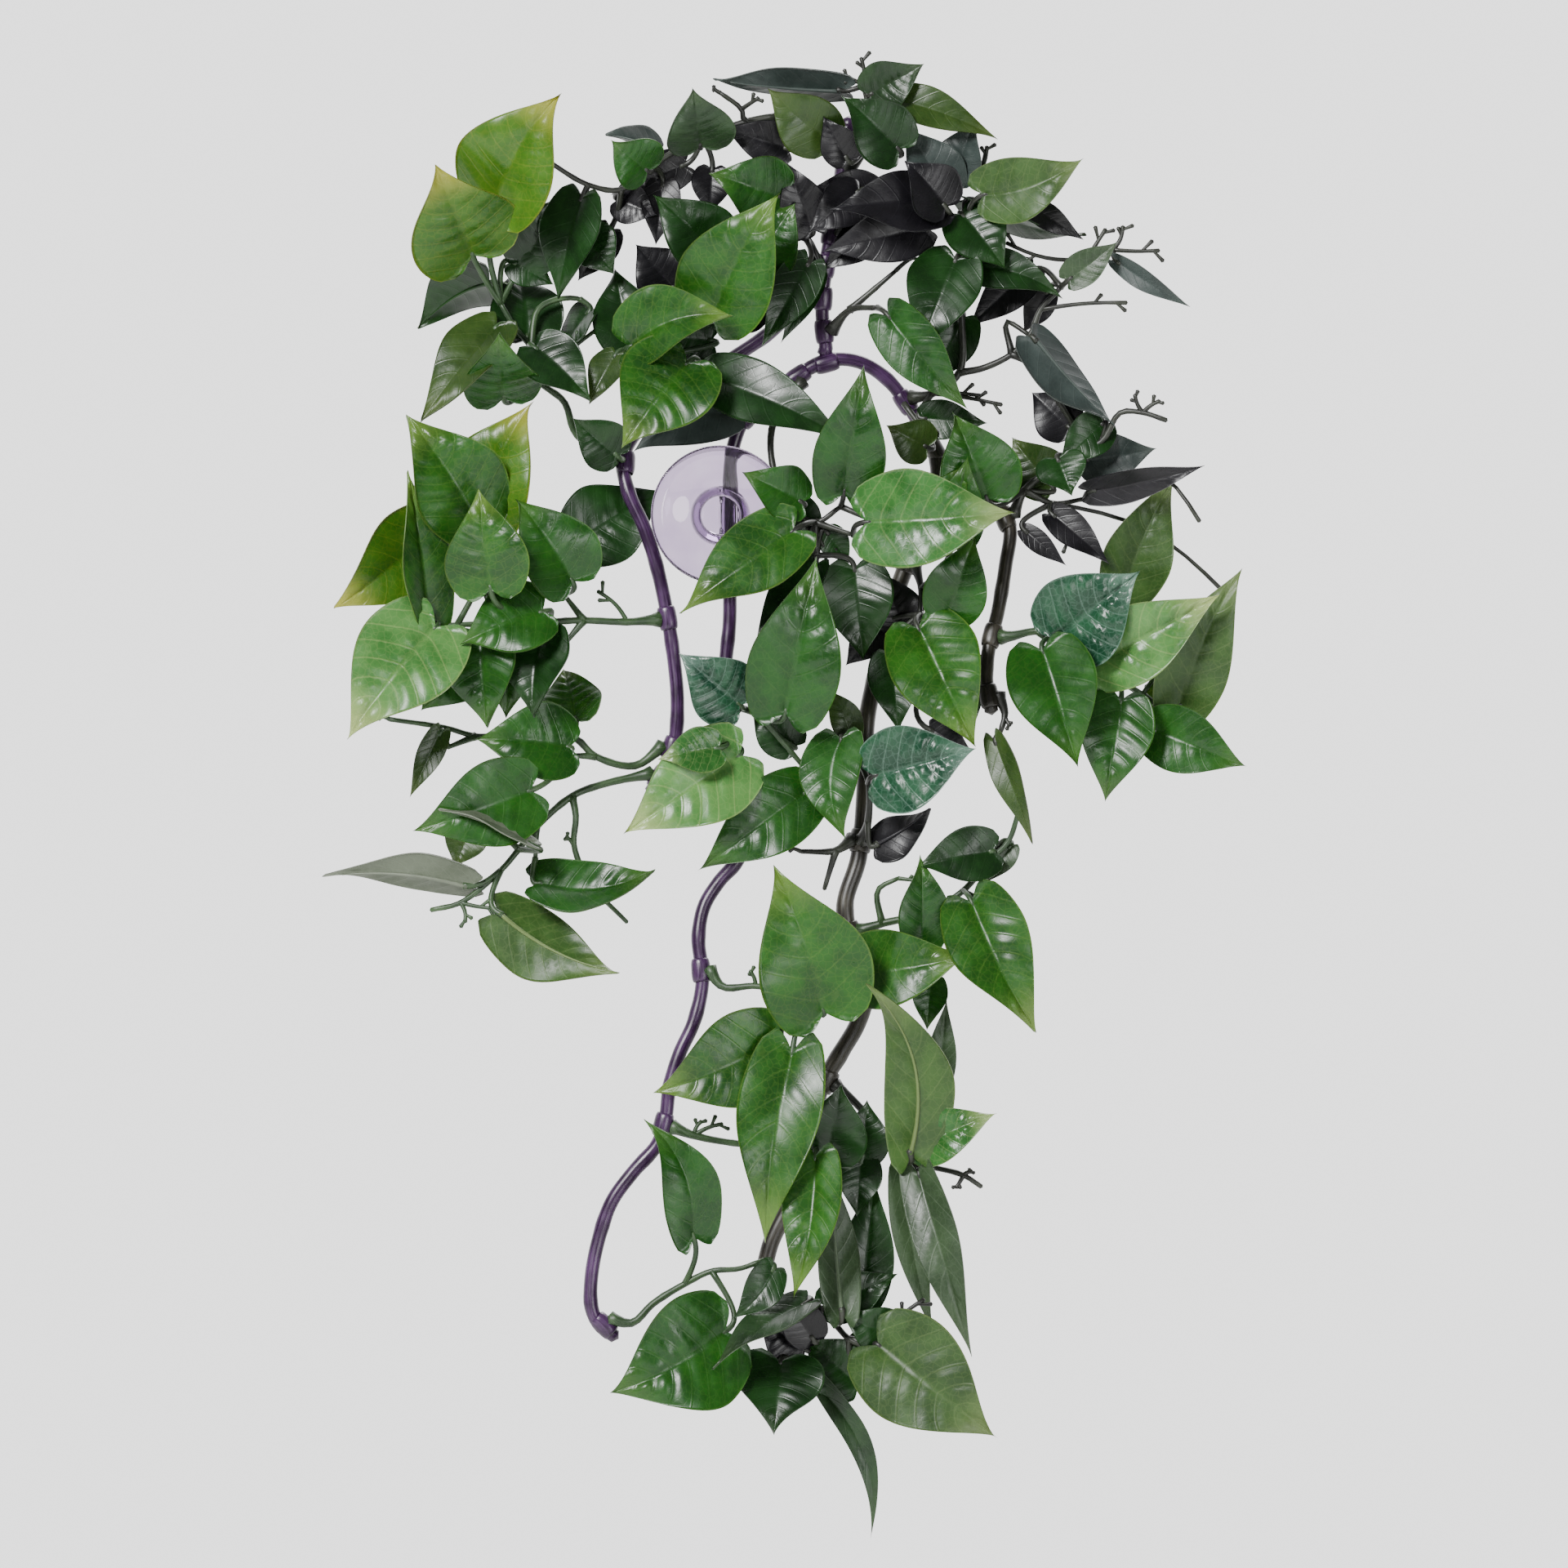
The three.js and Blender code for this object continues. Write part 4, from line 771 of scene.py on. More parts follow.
def draw_blade(shape, leaf, upper, lower):
    columns = [-s for s in ACROSS[:0:-1]] + ACROSS
    skins, edges = [], []
    for sign in (1, -1):
        rows = []
        for i in range(ALONG_STEPS):
            v = 1 - (1 - i / ALONG_STEPS) ** ROW_CROWDING
            line = []
            for s in columns:
                skin = leaf["face"] * sign * (BLADE_THICKNESS / 2 - MARGIN_THINNING * abs(s))
                spot = blade_point(leaf, s, v) + skin
                line.append(shape.point(spot, (abs(s), v), (vein_count(s, v), leaf["chance"])))
            rows.append(line)
        peak = blade_point(leaf, 0, 1) + leaf["face"] * sign * TIP_THICKNESS / 2
        skins.append((rows, shape.point(peak, (0, 1), (vein_count(0, 1), leaf["chance"]))))
    for (rows, peak), turn, finish in zip(skins, (-1, 1), (upper, lower)):
        for a, b in zip(rows, rows[1:]):
            for k in range(len(columns) - 1):
                shape.face((a[k], a[k + 1], b[k + 1], b[k])[::turn], finish)
        for k in range(len(columns) - 1):
            shape.face((rows[-1][k], rows[-1][k + 1], peak)[::turn], finish)
        left, right = [row[0] for row in rows[1:]], [row[-1] for row in rows[:0:-1]]
        edges.append(rows[0][::-1] + left + [peak] + right)
    shape.stitch(edges, upper)


print("points on one blade:", 2 * (ALONG_STEPS * (2 * len(ACROSS) - 1) + 1))

# %% [markdown]
# The next cell draws one whole leaf: the blade, a midrib sunk into its underside, and the stalk,
# which leaves the blade along the midrib and bends over to the stem it springs from, on a Bezier
# curve. Four random draws make each leaf a little different. The side that looks away from the
# viewer gets the duller colour of a leaf's underside.

# %% Leaf function
USUAL_POSE = (0, 12, 0.06, 0)
TWIST_LIMIT = 22
RIB_REACH = 0.86
RIB_STEPS = 12
RIB_SINK = 0.28
STALK_RADIUS = 0.72
STALK_STEPS = 12
FINE_SIDES = 8


def leaf_axes(base, tip, roll):
    """Along the leaf, out of its upper face, and to its right. Without roll it faces the viewer."""
    along = (tip - base).normalized()
    face = Vector((0, -1, 0))
    face = (face - along * face.dot(along)).normalized()
    right = along.cross(face)
    face = face * math.cos(roll) + right * math.sin(roll)
    return along, face, along.cross(face)


def stalk_radius(t):
    return STALK_RADIUS * (0.86 + 0.3 * (1 - t) ** 8 + 0.2 * t**6)


def draw_leaf(shape, start, row, dice, stem_finish):
    base, tip = Vector(row[:3]), Vector(row[3:6])
    width, tone, *pose = row[6:]
    roll, fold, bow, sweep = [*pose, *USUAL_POSE[len(pose):]]
    along, face, side = leaf_axes(base, tip, math.radians(roll))
    leaf = dict(
        base=base, size=(tip - base).length, along=along, face=face, side=side, width=width,
        fold=math.radians(fold), bow=bow, sweep=sweep, chance=dice.random(),
        puff=dice.uniform(0.016, 0.034) * width * QUILTING.get(tone, 1),
        wave=dice.uniform(0.03, 0.055) * width,
        twist=math.radians(dice.uniform(-TWIST_LIMIT, TWIST_LIMIT)),
    )
    away = AWAY_SIDE.get(tone, tone)
    upper, lower = (tone, away) if abs(roll) < 90 else (away, tone)
    draw_blade(shape, leaf, upper, lower)

    rib = [blade_point(leaf, 0, RIB_REACH * i / RIB_STEPS) - face * RIB_SINK for i in range(RIB_STEPS + 1)]
    rod(shape, rib, lambda t: 0.55 - 0.42 * t, FINE_SIDES, lower)

    bend = base - along * 0.35 * (start - base).length
    far = start.lerp(bend, 0.6)
    stalk = [base + along * 0.8]
    for i in range(STALK_STEPS + 1):
        t = i / STALK_STEPS
        near_base = base * (1 - t) ** 3 + bend * 3 * t * (1 - t) ** 2
        stalk.append(near_base + far * 3 * t * t * (1 - t) + start * t**3)
    rod(shape, stalk, stalk_radius, FINE_SIDES, stem_finish)


print("a stalk is", round(2 * stalk_radius(0.5), 2), "mm thick halfway")

# %% [markdown]
# ## Twigs
# Between the leaves stand short bare twigs, the gates and buds of the moulding: a thin rod, a
# round bud at its end, and two stubs that fork off. They catch the eye along the outline.
# Two long ones on the right are bowed tendrils without stubs, and their rows give the bow.

# %% Twig function
TWIG_BOW_LIMIT = 0.12
TWIG_STEPS = 8
STUBS = ((0.62, 1), (0.84, -1))
STUB_REACH = 3.2


def draw_twig(shape, start, end, dice, finish, bow=None):
    way = end - start
    length = way.length
    across = way.cross(Vector((0, 1, 0))).normalized()
    bend = across * length * (bow or dice.uniform(-TWIG_BOW_LIMIT, TWIG_BOW_LIMIT))
    shares = [i / TWIG_STEPS for i in range(TWIG_STEPS + 1)]
    walk = [start + way * t + bend * math.sin(math.pi * t) for t in shares]

    def budded(t):
        return 0.55 - 0.14 * t + 0.3 * max(0, t - 0.8) / 0.2 * (1.35 - t)

    rod(shape, walk, budded, FINE_SIDES, finish)
    for at, turn in () if bow else STUBS:
        foot = walk[round(at * TWIG_STEPS)]
        reach = min(0.4 * length, STUB_REACH) * dice.uniform(0.75, 1.1)
        heading = (way.normalized() * 0.8 + across * turn * 0.8).normalized()
        stub = [foot + heading * reach * t for t in (0, 0.25, 0.5, 0.75, 1)]
        rod(shape, stub, lambda t: 0.34 + 0.18 * t * t, FINE_SIDES, finish)


# %% [markdown]
# ## A leafy spray
# A spray is a collar, a few thin stems through numbered points, leaves on stalks from those
# points, and twigs. The table for each one lists points as x, y, z in millimetres, and the first
# point lies on the vine. A leaf row says: the point its stalk springs from, its base, its tip, its
# width and its colour. Where the leaf isn't posed as usual, the row goes on with roll and V fold in
# degrees, and bow and sideways sweep as shares of its length. A twig row says: the point it springs
# from, its end, and for a tendril its bow.

# %% Spray function
STEM_RADIUS = 0.9
SIDE_STEM_SHARE = 0.88
STEM_SIDES = 10
STEM_RING_STEP = 1.5
NODE_SPACING = 7
leaf_counts = {}


def draw_stem(shape, route, finish, from_collar):
    """A thin stem that is thick at its foot and swells a little at each node."""
    walk, length = step_walk(soft_curve(route), STEM_RING_STEP, least=4)
    thick = STEM_RADIUS if from_collar else STEM_RADIUS * SIDE_STEM_SHARE
    flare = 0.8 if from_collar else 0.15
    beats = max(1, length / NODE_SPACING)

    def stem_radius(t):
        node = max(0, math.cos(2 * math.pi * beats * t)) ** 8
        foot = max(0, 1 - t * length / NODE_SPACING) ** 2
        return thick * (1 - 0.4 * t + flare * foot) * (1 + 0.13 * node)

    rod(shape, walk, stem_radius, STEM_SIDES, finish)


def leafy_spray(name, on, points, stems, leaves, twigs, stem="green stem"):
    shape = Shape()
    dice = random.Random(name)
    wall = collar(shape, on, points[0], VINES[on][1])
    spots = [Vector(p) for p in points]

    def start_of(number, towards):
        return wall(towards) if number == 0 else spots[number]

    for numbers in stems:
        route = [start_of(n, spots[m]) for n, m in zip(numbers, numbers[1:] + numbers[-1:])]
        draw_stem(shape, route, stem, from_collar=numbers[0] == 0)
    for number, *row in leaves:
        draw_leaf(shape, start_of(number, Vector(row[:3])), row, dice, stem)
    for number, x, y, z, *bow in twigs:
        end = Vector((x, y, z))
        draw_twig(shape, start_of(number, end), end, dice, stem, *bow)
    leaf_counts[name] = len(leaves)
    make_piece(shape, name.replace("_spray", "_foliage"), name)


# %% [markdown]
# ## Left side
# The left side hangs from the branch that dips behind the cup. Its outer leaves catch the light
# and are the greenest: the big pointed one at the very top left has a yellow tip. Behind them lie
# dark ones.

# %% Left side
leafy_spray("upper_left_spray", on="left_vine", points=[
    (-21, 11, 12.5), (-31.2, 9, 17.6), (-33.9, 8, 24.7), (-39.7, 7, 29.6), (-41, 6, 36.2),
    (-44.5, 6, 40.6), (-47.6, 6, 45.9), (-39.2, 8, 45), (-30.5, 10, 47), (-26, 11, 42),
], stems=[[0, 1, 2, 3, 4, 5, 6], [4, 7, 8, 9]], leaves=[
    (6, -48, -1, 67, -34, -12, 90.4, 23.6, "yellow", -10, 14, 0.1, -0.05),
    (6, -53.6, 0, 56.2, -61.2, -14, 74.9, 25.2, "yellow", 5, 8, 0.08),
    (6, -50, 6, 50.3, -66, 17, 41, 16.8, "dark", 140, 10, 0.12),
    (5, -41.8, 9, 38.5, -44.5, 18, 54, 16.8, "dark", 20, 12, 0.08),
    (5, -48.3, 3, 40.6, -64.5, -6, 19.8, 14.7, "olive", 30, 12, 0.06, -0.02),
    (3, -46.8, 1, 25.4, -47.6, -9, 39, 17.3, "mid", 0, 8, 0.1),
    (4, -40, 0, 36, -27.8, -5, 24.4, 13.7, "dark", -20, 12, 0.08),
    (8, -28.3, 10, 44.2, -34, 11, 34, 11.6, "dark", 60, 10),
    (0, -22.5, 5, 13, -32, 1, 21, 11.6, "dark", 0, 10, 0.08),
    (6, -42.6, 8, 55.1, -33.8, 6, 69.7, 13.7, "dark"),
    (6, -45, 8, 55, -36, 9, 50, 8, "dark"),
], twigs=[(3, -26, 9, 41), (9, -22.5, 9, 40)])
leafy_spray("left_middle_spray", on="left_vine", points=[
    (-11.2, 8, -24.5), (-20.1, 5, -23.1), (-29.5, 3, -22.8), (-37.2, 1.5, -23.1), (-48, 0, -23.5),
    (-56.8, -1, -23.8), (-63, -1, -24), (-33.9, 3, -17.1), (-33.9, 2, -28.2), (-42.4, -5, -22),
], stems=[[0, 1, 2, 3, 4, 5, 6], [2, 7], [2, 8], [3, 9]], leaves=[
    (4, -51.5, 3, -1.7, -40.2, -3, 24.4, 21, "yellow", -15, 12, 0.08, -0.05),
    (5, -52.3, -3.5, -1.7, -67.6, -8, 21.4, 22.1, "bright", 15, 12, 0.1),
    (6, -63, -3, -22.5, -67.2, -9, 9.4, 14.2, "bright", 35, 22, 0.06, -0.03),
    (6, -62, 4, -3, -83.5, 0, -20.3, 19.9, "yellow", -20, 12, 0.08),
    (9, -49.3, -12, -16.2, -51.8, -16, 5.3, 18.9, "bright", 0, 12, 0.1),
    (7, -32, -3, -14.4, -44.1, -7, 3.2, 18.9, "mid", 20, 10, 0.1),
    (7, -30.7, 11, -5.6, -12.9, 17.5, 5.5, 18.9, "dark", -10, 10),
    (6, -61.3, -6, -24.5, -80.1, -14, -48.7, 24.2, "light", 10, 14, 0.1),
    (5, -54.2, 4, -30, -64.8, 2, -42.4, 15.8, "mid", 0, 10, 0.08),
    (4, -51.5, -5, -26.4, -50.1, -6, -46.2, 16.8, "mid", 15, 14),
    (3, -45.3, -1, -25.6, -46.2, -2, -44.1, 14.7, "mid", 0, 14),
    (8, -37.8, -5, -25.5, -40.1, -9, -44, 15.8, "dark", 20, 14, 0.06, 0.04),
    (3, -38.3, -7, -21.2, -55.9, -11, -28.2, 17.3, "mid", 20, 10, 0.08),
], twigs=[(1, -26.5, 4, -16.5), (7, -60, 2, -14.5)])
leafy_spray("left_lower_spray", on="left_vine", points=[
    (-10.3, 7, -50.5), (-18.4, 6, -54.2), (-27, 4, -52.2), (-32, 3, -48), (-33.8, 2, -52),
    (-52.8, 4, -47.8), (-59.5, 4, -46), (-71.5, 3, -44.2), (-59, 3, -50.3),
], stems=[[0, 1, 2, 3, 5, 6, 7], [2, 4], [5, 8]], leaves=[
    (3, -31.2, 4, -44.5, -33.9, 13, -33.5, 13.7, "bright", 0, 8, 0.08),
    (4, -32.5, -1, -50.3, -52.8, -5, -48.5, 17.9, "mid", 15, 10, 0.1),
    (4, -40.9, -9, -59.6, -66, -14, -68.3, 19.4, "mid", -5, 12, 0.1),
    (8, -60.5, 3, -47, -67.2, 2, -61.2, 6.3, "olive", 0, 20, 0.05),
], twigs=[(7, -74, 3, -43.6)])
leafy_spray("left_hanging_spray", on="left_vine", points=[
    (-14.5, 7, -59.2), (-25.2, 5, -58.2), (-32, 3, -60.8), (-39.8, 1, -67.6), (-43.5, 0, -72.3),
    (-47.4, -1, -76.9), (-56, -3, -83.8), (-62.4, -3, -85.4), (-31.2, 2, -65.3), (-31.6, 2, -71.5),
    (-28.2, 1, -79.5), (-20.1, 0, -88.1), (-39.9, 0, -74.1),
], stems=[[0, 1, 2, 3, 4, 5, 6, 7], [2, 8, 9, 10, 11], [3, 12]], leaves=[
    (4, -54.2, 5, -67.9, -57.5, 4, -76.4, 9.5, "olive", 0, 12, 0.08),
    (4, -40.6, -13, -71.3, -60.4, -17, -63.5, 6.8, "silver", 68),
    (5, -54.6, -3, -80.2, -86, 0, -78.2, 11, "silver", 135, 12, 0.02, -0.06),
    (5, -47.6, -5, -86.1, -21.5, -11, -98.8, 16.8, "sage", 160, 12, 0.08, -0.05),
    (12, -39.1, -2, -79.7, -13.9, -6, -76.6, 15.8, "mid", -40, 14, 0.02, 0.16),
], twigs=[(6, -49.2, -4, -85), (6, -55, -4, -88), (9, -33.3, 2, -69.5)])

# %% [markdown]
# ## Top
# The crown is dense and nearly black at the back, where leaves overlap on the trunk. Only a few
# green ones stand out in front, and one bright leaf hangs over the upper rim of the cup.

# %% Top
leafy_spray("top_left_spray", on="trunk", stem="dark stem", points=[
    (27.6, 12, 80.4), (19, 10, 85), (12, 9, 86.5), (-3.9, 8, 82), (-14.5, 6, 75.9), (-21.5, 5, 70.5),
    (-28.6, 4, 71.5), (-37.8, 1, 76.8), (5.3, 8, 85.5), (4.6, 7, 88), (0, 6, 91.5),
], stems=[[0, 1, 2, 3, 4, 5, 6, 7], [2, 8, 9, 10]], leaves=[
    (4, -15.9, 2, 74.5, -23.6, -4, 80.8, 12.6, "mid", 0, 10, 0.1),
    (4, -13.6, 9, 79, -25, 13, 83, 10.5, "slate", 120, 10, 0.08),
    (3, -4.4, 4, 80, -6, -4, 92.1, 15.8, "muted", 10, 12, 0.1),
    (6, -29.8, 4, 68.7, -35.1, 6, 46.8, 14.7, "dark", 25, 14),
    (6, -29.4, 6, 60.9, -22.9, 4, 52.1, 11.6, "dark"),
    (5, -22, 9, 68.5, -13.5, 7, 65, 9.5, "black"),
    (3, -8, 10, 76, -24, 10, 69.5, 10, "black"),
    (5, -24, 10, 62, -31, 13, 51, 9, "black"),
    (2, 14.5, 9, 79.5, 0.5, 7, 84, 10, "black"),
    (4, -12.5, 9, 72, -14, 8, 58.5, 9, "black"),
    (3, -1.7, 9, 75, -2.4, 9, 65, 9, "black"),
], twigs=[(10, -1.5, 6, 92.6), (9, 8.3, 5, 90.3)])
leafy_spray("top_centre_spray", on="trunk", stem="dark stem", points=[
    (23.2, 12, 56.8), (18.2, 10, 60.5), (10.2, 9, 55), (3.1, 8, 46), (1, 8, 54), (-7, 10, 49),
], stems=[[0, 1, 2, 3], [2, 4, 5]], leaves=[
    (1, 13, 5, 68.9, -2.4, -1, 73.8, 15.8, "mid", 0, 10, 0.1),
    (4, -0.4, 6, 55.5, -14.5, 2, 69.2, 16.8, "dark", 15, 10, 0.1),
    (3, -1.7, 0, 43.1, 13.1, -9, 69.2, 22.1, "bright", 0, 12, 0.1, -0.04),
    (2, 7.7, 6, 54.7, 16.5, 4, 67.8, 15.8, "mid", -10, 10),
    (5, -10, 14, 49.4, -18.5, 12, 59, 13.7, "black", 0, 10),
    (1, 19.1, 5, 54.4, 8.9, 0, 36.2, 10.5, "dark"),
    (1, 21, 6, 52, 13, 3, 37, 6, "dark"),
    (1, 20, 7, 62, 14, 5, 77, 11, "black"),
    (3, 8.5, 6, 44.5, 0, 5, 40, 8, "black"),
], twigs=[(1, 14.5, 7, 64)])
leafy_spray("heart_spray", on="centre_vine", points=[
    (6.5, 11, 22.8), (2, 7, 27.4), (-4, 4, 31), (-12, 4, 34.5), (-17.5, 4, 35),
], stems=[[0, 1, 2, 3, 4]], leaves=[
    (4, -19.4, -2, 36.2, 2.8, -8, 42.7, 18.9, "bright", -20, 26, 0.1, -0.08),
    (2, -7, -5, 32.5, -21.2, -13, 13.8, 23.1, "bright", 10, 14, 0.1),
    (1, 2, 2, 22.1, -18.8, -5, 13.3, 13.7, "slate", 10, 10, 0.06, 0.08),
    (2, -1.5, 0, 29.2, 27.5, -7, 15.9, 14.7, "dark", -15, 14, 0.1),
    (3, -2, 9, 38, -15.4, 8, 39.7, 13.7, "dark", 0, 10),
    (4, -19.4, 8, 36.6, -23, 12, 53.8, 14.7, "dark", 0, 12, 0.08),
    (4, -22.5, 1, 34.5, -28.3, -1, 23.8, 8, "olive", 20),
], twigs=[])
leafy_spray("crown_spray", on="trunk", stem="dark stem", points=[
    (26.6, 12, 72.4), (31, 7, 79), (32, 5, 88), (31, 5, 93),
], stems=[[0, 1, 2, 3]], leaves=[
    (3, 32.5, 4, 91, 44.1, 0, 97.4, 11.6, "muted", 0, 12, 0.08),
    (1, 38.5, 0, 79, 26.1, -5, 90.3, 14.7, "dark", 10, 10, 0.1),
    (2, 35.5, 3, 90, 60, 2, 81.2, 9.5, "olive", -15, 14, 0.04, -0.04),
    (3, 26.1, 6, 92, -1.6, 3, 94.4, 11.6, "slate", 125, 14, 0.02, 0.05),
    (1, 23, 5, 81.5, 10.2, 1, 92.3, 14.2, "olive", -10, 12, 0.1),
    (1, 27.4, 3, 77, 22.2, 1, 86.2, 9, "black"),
], twigs=[(3, 30.5, 5, 99), (3, 27, 5, 94.8)])
leafy_spray("upper_fan_spray", on="trunk", stem="dark stem", points=[
    (24.8, 12, 64.6), (35, 10, 70.5), (45, 10, 70.5), (50.5, 10, 71), (56.5, 8, 75), (57.5, 8, 78.5),
], stems=[[0, 1, 2, 3, 4, 5]], leaves=[
    (3, 50.8, 8, 73.2, 55.6, 5, 85.5, 11.6, "slate", -20, 14, 0.08),
    (2, 49, 6, 70.3, 39.7, 5, 84, 13.1, "slate", 10, 14, 0.08),
    (2, 48.5, -1, 66.5, 39.9, -4, 76.3, 13.7, "black", 20, 12, 0.08),
    (2, 47.4, 2, 67.1, 23.5, -5, 65.7, 14.7, "black", 20, 12, 0.08),
    (1, 44, 5, 62.3, 21.8, 3, 56.9, 12.6, "black"),
    (1, 33.6, 7, 68.3, 18.2, 6, 70.3, 12.6, "black"),
    (0, 30, 5, 70, 19, 1, 61, 11, "black"),
    (1, 33, 7, 62, 22, 6, 53, 9, "black"),
], twigs=[(4, 57.8, 8, 80)])
leafy_spray("cross_spray", on="trunk", stem="dark stem", points=[
    (22.3, 12.4, 41.6), (28, 8, 44.5), (34, 2, 44.8), (24, 9, 55), (38, 7, 53),
], stems=[[0, 1, 2], [1, 4]], leaves=[
    (2, 36.4, -2, 42.8, 53.5, -3, 22.6, 13.1, "mid", 10, 12, 0.08),
], twigs=[(4, 42, 6, 56)])

# %% [markdown]
# ## Right side
# The right side fans out on thin dark stems with many twigs. The upper leaves are nearly black, the
# lower ones are broad and veined, and some show their bluish or grey side.

# %% Right side
leafy_spray("right_upper_spray", on="centre_vine", stem="dark stem", points=[
    (39.2, 13.9, 26.1), (46, 10, 26.5), (51.8, 9, 31), (52.3, 9, 44.2), (52.1, 9, 56), (53.5, 8, 62),
    (57, 9, 32), (63.2, 8, 35), (67.1, 7, 39), (69.4, 7, 44.6), (73.8, 6, 49.4), (62, 9, 42),
    (68, 8, 32.5), (79.5, 7, 55.5), (85, 6, 57.5),
], stems=[[0, 1, 2, 3, 4, 5], [2, 6, 7, 8, 9, 10, 13, 14], [7, 11, 8], [7, 12]], leaves=[
    (5, 57.1, 1, 69.2, 78.4, -4, 76.8, 15.2, "sage", -8, 14, 0.1, 0.1),
    (5, 54.4, 8, 68.5, 79.5, 12, 60.9, 12.6, "dark", 74, 14),
    (4, 51, 2, 55.1, 42.9, -3, 34.9, 16.8, "dark", 10, 14, 0.08),
    (5, 52.3, 4, 65, 61.7, 1, 53, 14.7, "dark", -10, 12, 0.08),
    (4, 53.5, 5, 53, 74.1, 3, 46.8, 10, "dark", -15, 16, 0.06, -0.1),
    (0, 44.6, 6, 14.8, 35.9, 3, 19.4, 10.5, "olive", 0, 12, 0.08),
    (10, 67.6, 11, 53, 53.8, 13, 40.9, 10, "black", 10),
    (10, 75.6, 3, 51, 86.1, 1, 59.1, 8, "grey", 0, 16),
    (14, 86, 5, 55, 101.7, 3, 45, 5, "slate", 20, 16),
    (12, 68, 4, 38.2, 85.2, 1, 19.4, 13.1, "slate", 140, 12, 0.08, 0.04),
    (12, 75.9, 13, 19.1, 67.6, 15, 27, 11.6, "black", 0, 10),
    (10, 71.1, 12, 49, 65.8, 15, 39.7, 7, "black"),
    (3, 52.5, 12, 43, 45, 14, 28, 12, "dark"),
    (1, 44, 8, 21, 58, 7, 20, 9, "dark"),
    (5, 67, 7, 67, 78.8, 7, 59.7, 6, "black"),
], twigs=[
    (14, 87.2, 6, 62.6), (13, 83.5, 7, 62), (14, 95, 5, 57.3), (1, 56.5, 9, 26), (1, 61, 8, 24),
    (13, 62, 6, 59), (9, 88, 5, 46),
])
leafy_spray("right_fan_spray", on="side_vine", stem="dark stem", points=[
    (60.8, 7.4, 1.4), (66, 6, 5.5), (75.5, 5, 12.4), (82.6, 4, 16), (86.5, 3, 22.1), (91.4, 2, 22.1),
    (96.5, 1, 20.4), (72, 7, 2.6), (79, 6, 3.6),
], stems=[[0, 1, 2, 3, 4, 5, 6], [1, 7, 8]], leaves=[
    (1, 57.5, 0, 3.6, 50, -5, 22.1, 18.9, "mid", 10, 10, 0.1),
    (1, 72, 8, 6.2, 63.2, 10, 17, 12.6, "olive", -10),
    (3, 79.1, 9, 12, 94.6, 8, 14.5, 11.6, "slate", 10),
    (2, 73, 1, 12, 76, -2, 4, 11.6, "dark", 0, 12, 0.08),
    (8, 80.5, 3, 5.3, 104.7, -2, 10.6, 8, "black", 20, 16),
    (7, 72, 4, 0, 84.1, 2, -10.6, 7.9, "black", -10, 16),
    (3, 83, 6, 20, 73, 3, 10.5, 10, "dark"),
    (7, 66, 5, -3.4, 75, 4, -11, 5, "black"),
], twigs=[
    (5, 89.7, 2, 26), (5, 95, 1, 24.6), (7, 76, 5, -6), (8, 103.5, -2, -1.5, 0.33),
    (7, 109.1, 14, -16.2, 0.1),
])
leafy_spray("right_heart_spray", on="right_vine", stem="dark stem", points=[
    (40.6, 13, -10.6), (43.5, 7, -15.9), (43.2, 4, -21.5), (49.5, 5, -27),
], stems=[[0, 1, 2], [2, 3]], leaves=[
    (1, 50.2, -2, -6, 53.4, -8.5, 12.4, 12.6, "mid", 0, 12, 0.04),
    (2, 49.1, -2, -21.5, 55.2, -5, -4.4, 14.2, "mid", 0, 12, 0.1),
    (2, 42.8, -2, -24.7, 55.2, -7, -50.3, 21.5, "bright", 0, 18, 0.1),
    (3, 53, 6, -30.4, 54.8, 4, -47, 8.4, "dark"),
    (2, 37.1, 5, -30.6, 38.6, 3, -47.1, 11.6, "dark"),
    (2, 40, 7.5, -24.3, 34.7, 8, -12, 11.6, "black", 0, 12, 0.02),
    (3, 45.5, 7, -46.5, 54.4, 6, -51, 8, "black"),
    (2, 34.1, 8, -24.7, 27.1, 8, -32.6, 8, "black"),
], twigs=[])
leafy_spray("right_edge_spray", on="side_vine", points=[
    (58.1, 0, -28.6), (63.2, -1, -26.2), (68.3, -1, -25.2), (72, -2, -26.4), (78.2, 2, -31),
    (86.1, 3, -35.5), (91.4, 3, -38.8), (61.5, -3, -44), (62.3, -3, -46),
], stems=[[0, 1, 2, 3, 4, 5, 6]], leaves=[
    (2, 72.8, -4, -26.6, 90.5, -10, -12.3, 21.5, "blue", 0, 12, 0.1),
    (3, 69.5, -7, -29.5, 77.1, -11, -54.7, 21, "mid", 0, 22, 0.1),
    (4, 80.5, -2, -32.1, 107.7, -8, -17.3, 17.9, "light", 5, 12, 0.1),
    (6, 99.4, 4, -41.5, 112.8, -1, -11.6, 16.3, "sage", 10, 14, 0.08, -0.06),
    (5, 92.5, 8, -39.5, 107, 10, -47.6, 10, "yellow"),
    (6, 93.5, 1, -46.5, 113.7, -2, -54.4, 14.7, "mid", 0, 12, 0.1),
    (5, 86.5, -3, -40.2, 83, -6, -62.1, 16.8, "mid", 0, 14, 0.1),
    (5, 87.6, 9, -16.6, 98.2, 8, 8.3, 15.8, "sage", 15, 14, 0.06, -0.05),
], twigs=[(6, 98.8, 4, -31)])
leafy_spray("side_tip_spray", on="side_vine", stem="dark stem", points=[
    (58.2, -1.7, -39.6), (61.5, -2, -43), (60.5, -3, -47),
], stems=[[0, 1, 2]], leaves=[
    (2, 59.5, -3.5, -49, 67.4, -6, -71.2, 7.4, "olive", 30, 18, 0.05, -0.04),
], twigs=[(1, 62.6, -3, -45.6)])

